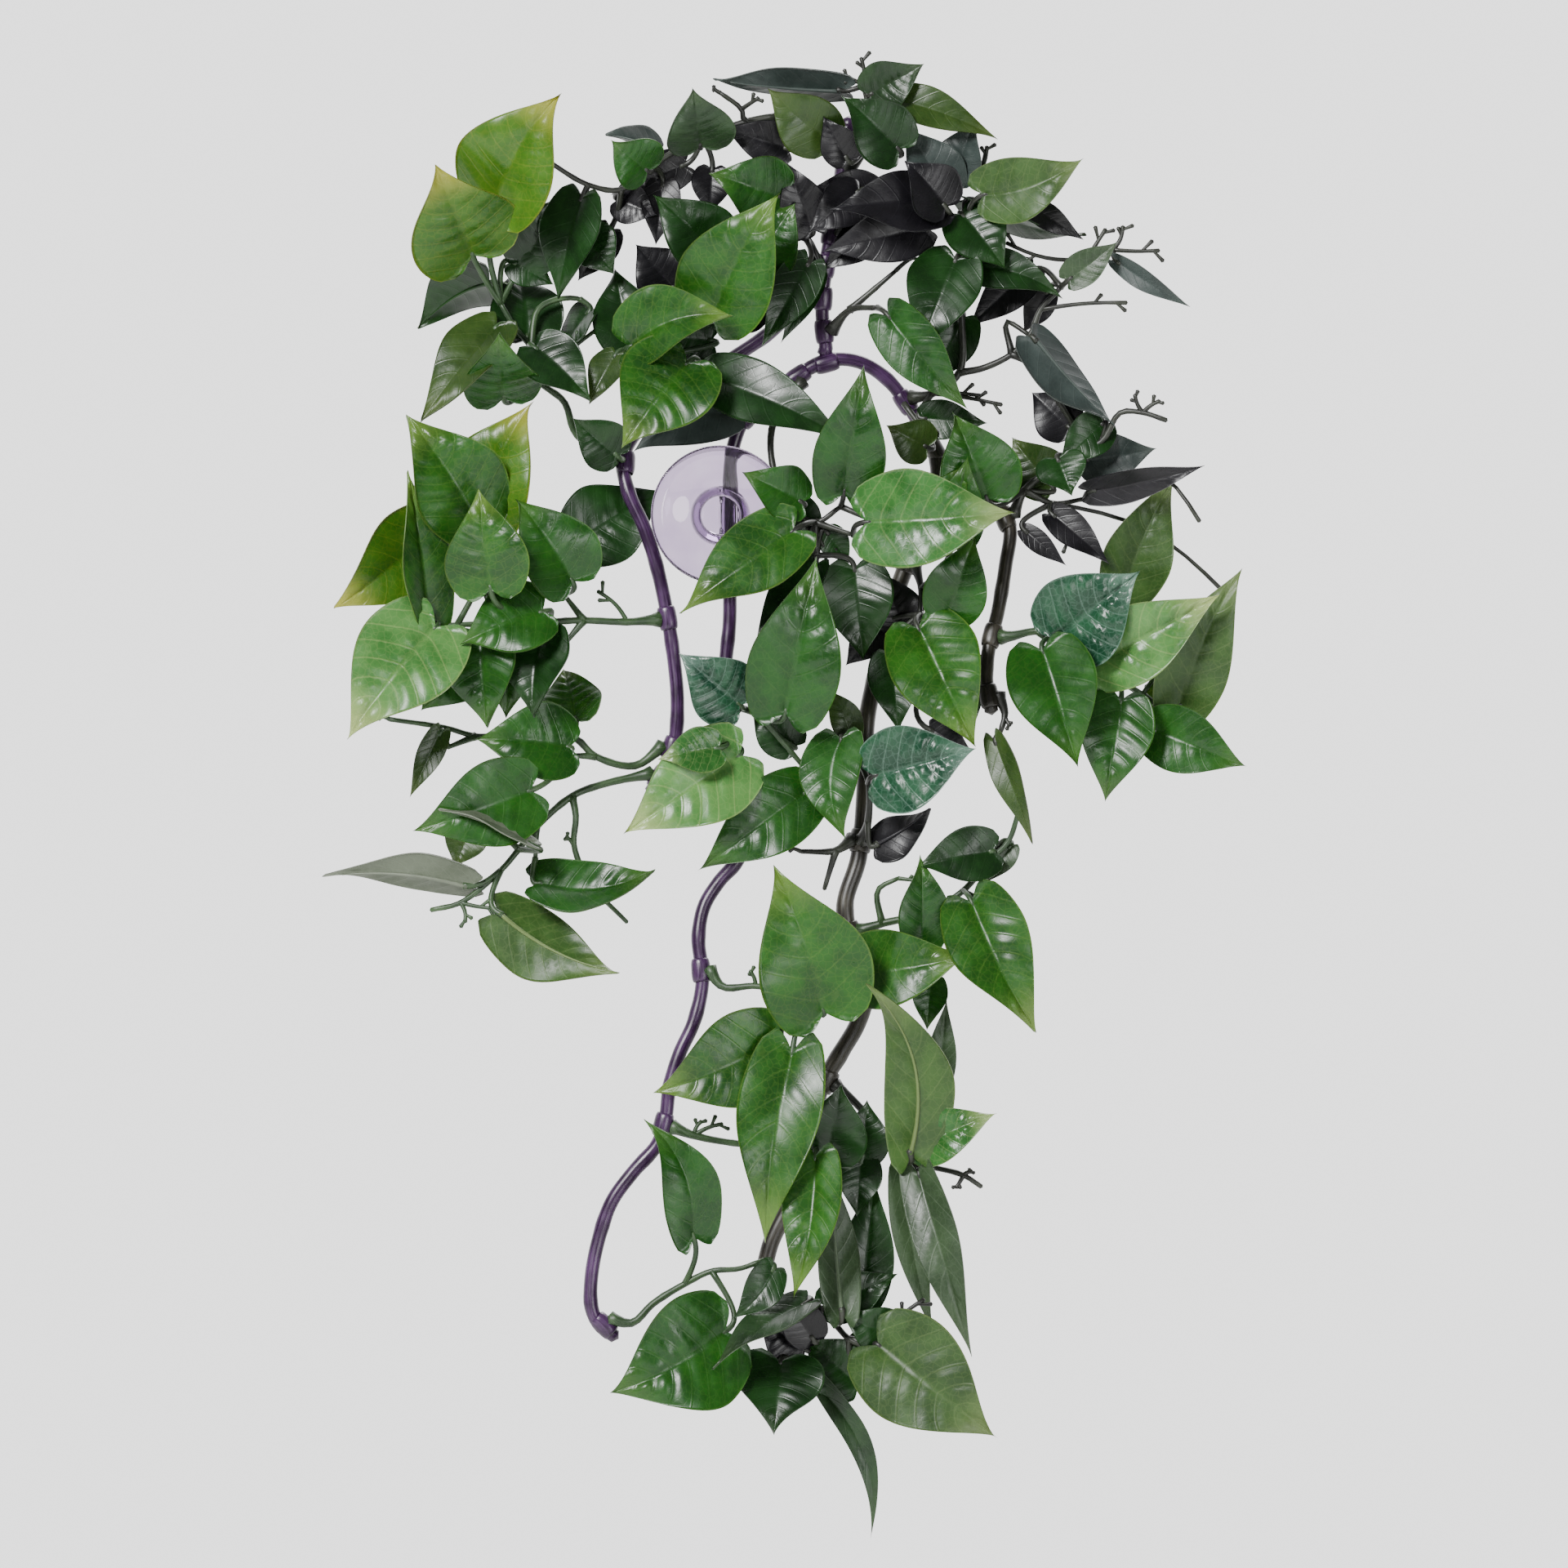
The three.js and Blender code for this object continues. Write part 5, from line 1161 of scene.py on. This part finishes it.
# %% [markdown]
# ## Middle
# In the middle, in front of the stems, two rosettes spread their leaves around a hub. These are the
# glossiest leaves, and their quilted panels show the most.

# %% Middle
leafy_spray("hub_spray", on="centre_vine", stem="dark stem", points=[
    (14.2, 12, 28.6), (11.5, 7, 20), (11.4, 5, 10.6), (15, 3, 2.5), (20.5, 2, -1.6), (26.1, 1, 1.8),
    (28.8, 0, -4.4), (20.8, 2, -8.8),
], stems=[[0, 1, 2, 3, 4, 5], [4, 6], [4, 7]], leaves=[
    (5, 26.8, -2, 4.8, 31, -9, 32.1, 16.2, "mid", 0, 12, 0.1),
    (3, 17.5, -3, 2.6, 4.8, -8, 9, 12.6, "mid", 10, 12, 0.08),
    (4, 15.8, -6, -3.7, -8.8, -10, -21.5, 17.3, "bright", 18, 12, 0.1, -0.03),
    (6, 31.8, -8, -1.8, 63.6, -14, 0, 22.1, "pale", -8, 12, 0.1, 0.02),
    (7, 29, 3, -11.5, 31, 3, -31.6, 16.3, "dark"),
    (7, 20.4, 2, -11, 7.1, 0, -31.4, 10.5, "dark", 25),
    (5, 47, -4, 0.5, 53.5, -7, 11, 9, "bright"),
    (4, 19.1, 4, -3.1, 14.7, 5, 7.1, 8, "dark"),
    (7, 23, 3, -3.5, 28, 4, -10.6, 7, "dark"),
], twigs=[(4, 24, 3, -9)])
leafy_spray("middle_spray", on="centre_vine", points=[
    (1.1, 9, -37), (4.1, 3, -41.5), (8.5, 0, -43.4), (0.6, -2, -48), (13, 0, -48.5), (18.5, 1, -55),
], stems=[[0, 1, 2, 4, 5], [1, 3]], leaves=[
    (2, 14.1, -7, -42.7, 20.8, -11, -9.2, 21, "mid", 0, 14, 0.1),
    (1, 4.1, -3, -41, -8.8, -8, -30, 15.8, "blue", 0, 12, 0.1),
    (3, 4.1, -5, -52, -20.8, -11, -69, 21, "light", 0, 12, 0.1),
    (5, 18.6, -1, -60, -4.9, -4, -76.9, 16.8, "mid", 0, 12, 0.1),
    (3, -0.5, -10, -50.5, -13.4, -12, -52.9, 10.5, "pale", 10, 12, 0.1),
    (4, 15.9, 3, -50, 6.5, 5, -42, 10.5, "dark"),
], twigs=[(3, -4, -2, -51)])
leafy_spray("right_middle_spray", on="right_vine", stem="dark stem", points=[
    (30.4, 8.4, -70), (25, 4, -72.6), (17.5, 3, -72.8), (32, 1, -66), (32, -3, -58), (29, 0, -51),
    (22.5, 4, -81),
], stems=[[0, 1, 2], [0, 3, 4, 5], [1, 6]], leaves=[
    (5, 26.2, -3, -48.5, 27.2, -7, -70.2, 14.2, "mid", 10, 12, 0.08, 0.12),
    (4, 33.4, -6, -56.4, 55.3, -10, -50.6, 19.4, "blue", 0, 12, 0.1),
    (3, 33.5, 1, -71.5, 45.6, -1, -63.5, 10.5, "black", 150, 12, 0.08),
    (5, 28.3, 1, -48, 22.6, 2, -37.5, 7.4, "olive", 0, 16, 0.1, 0.08),
], twigs=[(2, 15, 3, -72)])

# %% [markdown]
# ## Lower part
# Below, the sprays follow both stems down. Bright leaves stand in front, greyish undersides and
# dark leaves behind, and one narrow leaf curls down to the lowest point.

# %% Lower part
leafy_spray("right_lower_spray", on="right_vine", points=[
    (28.6, 7, -92), (35, 4, -88.4), (41, 3, -87), (47.3, 2, -84.7), (52.6, 1, -81.2), (58.8, 0, -74.1),
    (62.3, 0, -70.6), (34.1, 4, -81.2), (38.5, 3, -78.6), (65, -1, -62),
], stems=[[0, 1, 2, 3, 4, 5, 6, 9], [1, 7, 8]], leaves=[
    (0, 28.8, 0, -98.6, 54.1, -8, -94.9, 17.9, "bright", -10, 12, 0.1, 0.05),
    (4, 54.4, -3, -83.8, 68.2, -7, -111.8, 19.4, "bright", -7, 20, 0.1, 0.04),
    (3, 43.4, -2, -92.5, 43.2, -4, -73.4, 12.1, "mid", 15, 16, 0.08),
    (5, 58.8, -1, -72.7, 42.1, -4, -76.2, 12.6, "dark", 10, 12, 0.08),
    (6, 62.8, 2, -71.5, 57.3, 2, -79.7, 6.3, "grey", 0, 18),
    (3, 45.6, 4, -100.6, 44.7, 3, -111.5, 8, "mid"),
], twigs=[(8, 42, 2, -79), (4, 64, 1, -86)])
leafy_spray("bright_spray", on="centre_vine", points=[
    (-3.9, 1, -101.6), (0.6, -1, -102), (7.7, -2, -101.8), (14, -3, -103.2), (18, -4, -105),
    (12.1, -3, -107),
], stems=[[0, 1, 2, 3, 4], [3, 5]], leaves=[
    (4, 22.3, -6, -107.3, 11.5, -13, -75.5, 25.7, "bright", 0, 12, 0.1, 0.04),
    (5, 11.7, -5, -114, -14.4, -10, -124.7, 21, "bright", 0, 12, 0.1, -0.03),
    (4, 15.6, -8, -115.9, 9.8, -12, -157, 18.9, "bright", 0, 12, 0.12, 0.03),
], twigs=[(2, 6.5, -2, -98.5)])
leafy_spray("lower_middle_spray", on="centre_vine", points=[
    (-12.2, -2, -133), (-5.6, -2, -134.1), (4.1, -1, -135.9), (13.8, 0, -136.5), (20.5, -1, -138.5),
], stems=[[0, 1, 2, 3, 4]], leaves=[
    (4, 23.5, -2, -138.3, 26.1, -7, -122.6, 15.8, "dark", 0, 10, 0.1),
    (4, 20.5, -9, -138.5, 15.9, -14, -168.7, 14.2, "bright", 15, 16, 0.08, -0.06),
    (4, 30.8, 3, -139, 31.8, 2, -126.5, 11.6, "dark"),
    (4, 30.5, 3, -139.5, 29.5, 2, -152, 10, "dark"),
], twigs=[(1, -4, -2, -131), (1, 0.5, -2, -131.6)])
leafy_spray("arched_spray", on="right_vine", stem="dark stem", points=[
    (22.4, 9.4, -123), (30, 7, -128), (35.8, 5, -135.9), (39.6, 3, -139.8), (46.4, 3, -141.2),
    (52.6, 2, -142.8), (56.5, 2, -145.3),
], stems=[[0, 1, 2, 3, 4, 5, 6]], leaves=[
    (3, 41.1, -4, -138, 31.3, -15, -101, 16.2, "sage", 165, 12, 0.08, -0.13),
    (3, 42.4, 0, -136.6, 59.8, -4, -129.2, 12.1, "pale", -10, 12, 0.1),
    (2, 47.3, 5, -123.5, 49, 5, -104.8, 6.8, "grey", 0, 14),
    (4, 43, 0, -142.5, 54.3, -4, -181.8, 11.1, "grey", 20, 16, 0.08, -0.03),
    (3, 39.8, 4, -142.5, 46.2, 4, -177.5, 8.4, "grey", 0, 16, 0.06, 0.03),
], twigs=[(5, 51, 2, -145.5), (5, 54.5, 2, -142)])
leafy_spray("left_end_spray", on="centre_vine", points=[
    (-24, -4, -176.6), (-18.9, -5, -174.4), (-14.5, -5, -170.3), (-7.6, -5, -166), (-1.8, -6, -163.2),
    (4.1, -6, -162.7), (9, -6, -161),
], stems=[[0, 1, 2, 3, 4, 5, 6]], leaves=[
    (3, -5.8, -8, -155.6, -16.4, -10, -130.2, 13.7, "mid", 10, 14, 0.08, 0.12),
    (4, 1.1, -9, -176, -23.6, -15, -189, 26.2, "mid", 0, 12, 0.12, -0.05),
    (6, 11.5, -8, -162.5, 2.8, -9, -173.3, 8.9, "dark", 0, 12, 0.08, -0.08),
], twigs=[])
leafy_spray("right_end_spray", on="right_vine", stem="dark stem", points=[
    (12.4, 8, -176.6), (18.2, 4, -169.4), (24.4, 3, -174.6), (27.9, 1, -178.2), (33.5, -3, -180.3),
    (12, 2, -181), (16, 3, -183), (19.9, 3, -187.1),
], stems=[[0, 1, 2, 3, 4], [0, 5, 6, 7]], leaves=[
    (6, 13, -2, -183, 11.7, -11, -198.2, 19.9, "dark", 0, 10, 0.1),
    (1, 18.2, -5, -170.5, -1.7, -19, -183.7, 10.5, "muted", 50),
    (7, 20.8, 2, -188.5, 32.5, 1, -221.4, 5.9, "muted", 0, 20, 0.05, -0.14),
    (4, 34.1, -6, -179.1, 59.7, -11, -198.9, 24.2, "sage", 0, 12, 0.1),
    (4, 29.7, 3, -188, 18.2, 4, -177.9, 14.7, "dark", 0, 10),
    (3, 38.1, -1, -178, 26.1, -3, -172.6, 11.6, "dark", 0, 12, 0.08),
    (2, 23, 2, -171, 38.5, 2, -164.1, 11, "dark", 0, 12, 0.08),
    (2, 26.3, -5, -172, 24, -5, -139.5, 10, "grey", 165, 14, 0.08, 0.03),
    (2, 30.6, 3, -169.4, 33.5, 5, -143, 12.6, "dark"),
    (0, 18.2, 2, -180.3, 8.2, 0, -173.3, 12.6, "black"),
    (1, 20, -1, -178, 13.5, -2, -168, 10, "black"),
    (3, 29, 5, -187, 36, 5, -172, 12, "muted"),
], twigs=[(4, 44, -2, -169.5)])

# %% [markdown]
# ## Floor, light and air
# The vine hangs free, so the floor is a plain pale disc a hand's breadth below it. The light is a
# white studio wall behind the vine and a dimmer room in front of it: that keeps the dark leaves
# dark, because a glossy leaf shows the room it faces. One soft lamp in front at the upper left
# gives the highlights, a weaker one at the right fills, and one above and behind parts the leaves
# from each other along their edges.

# %% Floor
FLOOR_HEIGHT = -300
FLOOR_RADIUS = 900
FLOOR_SIDES = 96
PAPER_GRAIN = 2.0

disc = Shape()
rim = disc.ring(Vector(), (Vector((1, 0, 0)), Vector((0, 1, 0))), FLOOR_RADIUS, FLOOR_SIDES, 0)
disc.face(rim, "paper")
floor = add_object("floor", new_mesh("floor", disc))
floor.location = (0, 0, FLOOR_HEIGHT * MM)
floor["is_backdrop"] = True

paper, tree, shader = new_finish("pale_matte_paper")
spot = add_node(tree, "ShaderNodeNewGeometry").outputs["Position"]
grain = add_node(tree, "ShaderNodeTexNoise", {
    "Vector": spot, "Scale": 1 / (PAPER_GRAIN * MM), "Detail": 2,
}).outputs[0]
shade = add_node(tree, "ShaderNodeMix", {
    0: grain, 6: colour("#ececea"), 7: colour("#f3f3f1"),
}, data_type="RGBA").outputs[2]
tree.links.new(shade, shader.inputs["Base Color"])
shader.inputs["Roughness"].default_value = 0.9
floor.data.materials.append(paper)
print("floor:", -FLOOR_HEIGHT, "mm below the cup")

# %% Lights
ROOM_BRIGHTNESS = 0.17
WALL_BRIGHTNESS = 2.2


def soft_lamp(name, place, aim, size, watts):
    light = bpy.data.lights.new(name, "AREA")
    light.shape = "DISK"
    light.size = size
    light.energy = watts
    lamp = add_object(name, light)
    lamp.location = place
    lamp.rotation_euler = (Vector(aim) - Vector(place)).to_track_quat("-Z", "Y").to_euler()


middle = (0.014, 0, -0.06)
soft_lamp("key_lamp", (-0.7, -1.3, 0.75), aim=middle, size=0.5, watts=46)
soft_lamp("fill_lamp", (0.9, -1.4, -0.1), aim=middle, size=0.6, watts=9)
soft_lamp("edge_lamp", (0.25, 0.8, 0.9), aim=middle, size=0.6, watts=8)

# The room's brightness goes by direction: Y is negative towards the viewer and positive behind.
sky = bpy.data.worlds.new("white_studio")
sky.use_nodes = True
tree = sky.node_tree
background = tree.nodes["Background"]
background.inputs["Color"].default_value = colour("#ffffff")
heading = add_node(tree, "ShaderNodeTexCoord").outputs["Generated"]
heading = add_node(tree, "ShaderNodeSeparateXYZ", {0: heading}).outputs[1]
brightness = add_node(tree, "ShaderNodeMapRange", {
    "Value": heading, "From Min": -0.1, "From Max": 0.8,
    "To Min": ROOM_BRIGHTNESS, "To Max": WALL_BRIGHTNESS,
}, interpolation_type="SMOOTHSTEP").outputs[0]
tree.links.new(brightness, background.inputs["Strength"])
bpy.context.scene.world = sky

# %% [markdown]
# ## Sizes
# Last, the box of the plain model and the box of what we made are put side by side in a list. The
# finer pieces reach past the plain ones by 1.5 mm at the top.

# %% List the sizes and finish
boxes = [plain_box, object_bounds()]
[[list(corner) for corner in box] for box in boxes]
print("leaves:", sum(leaf_counts.values()))
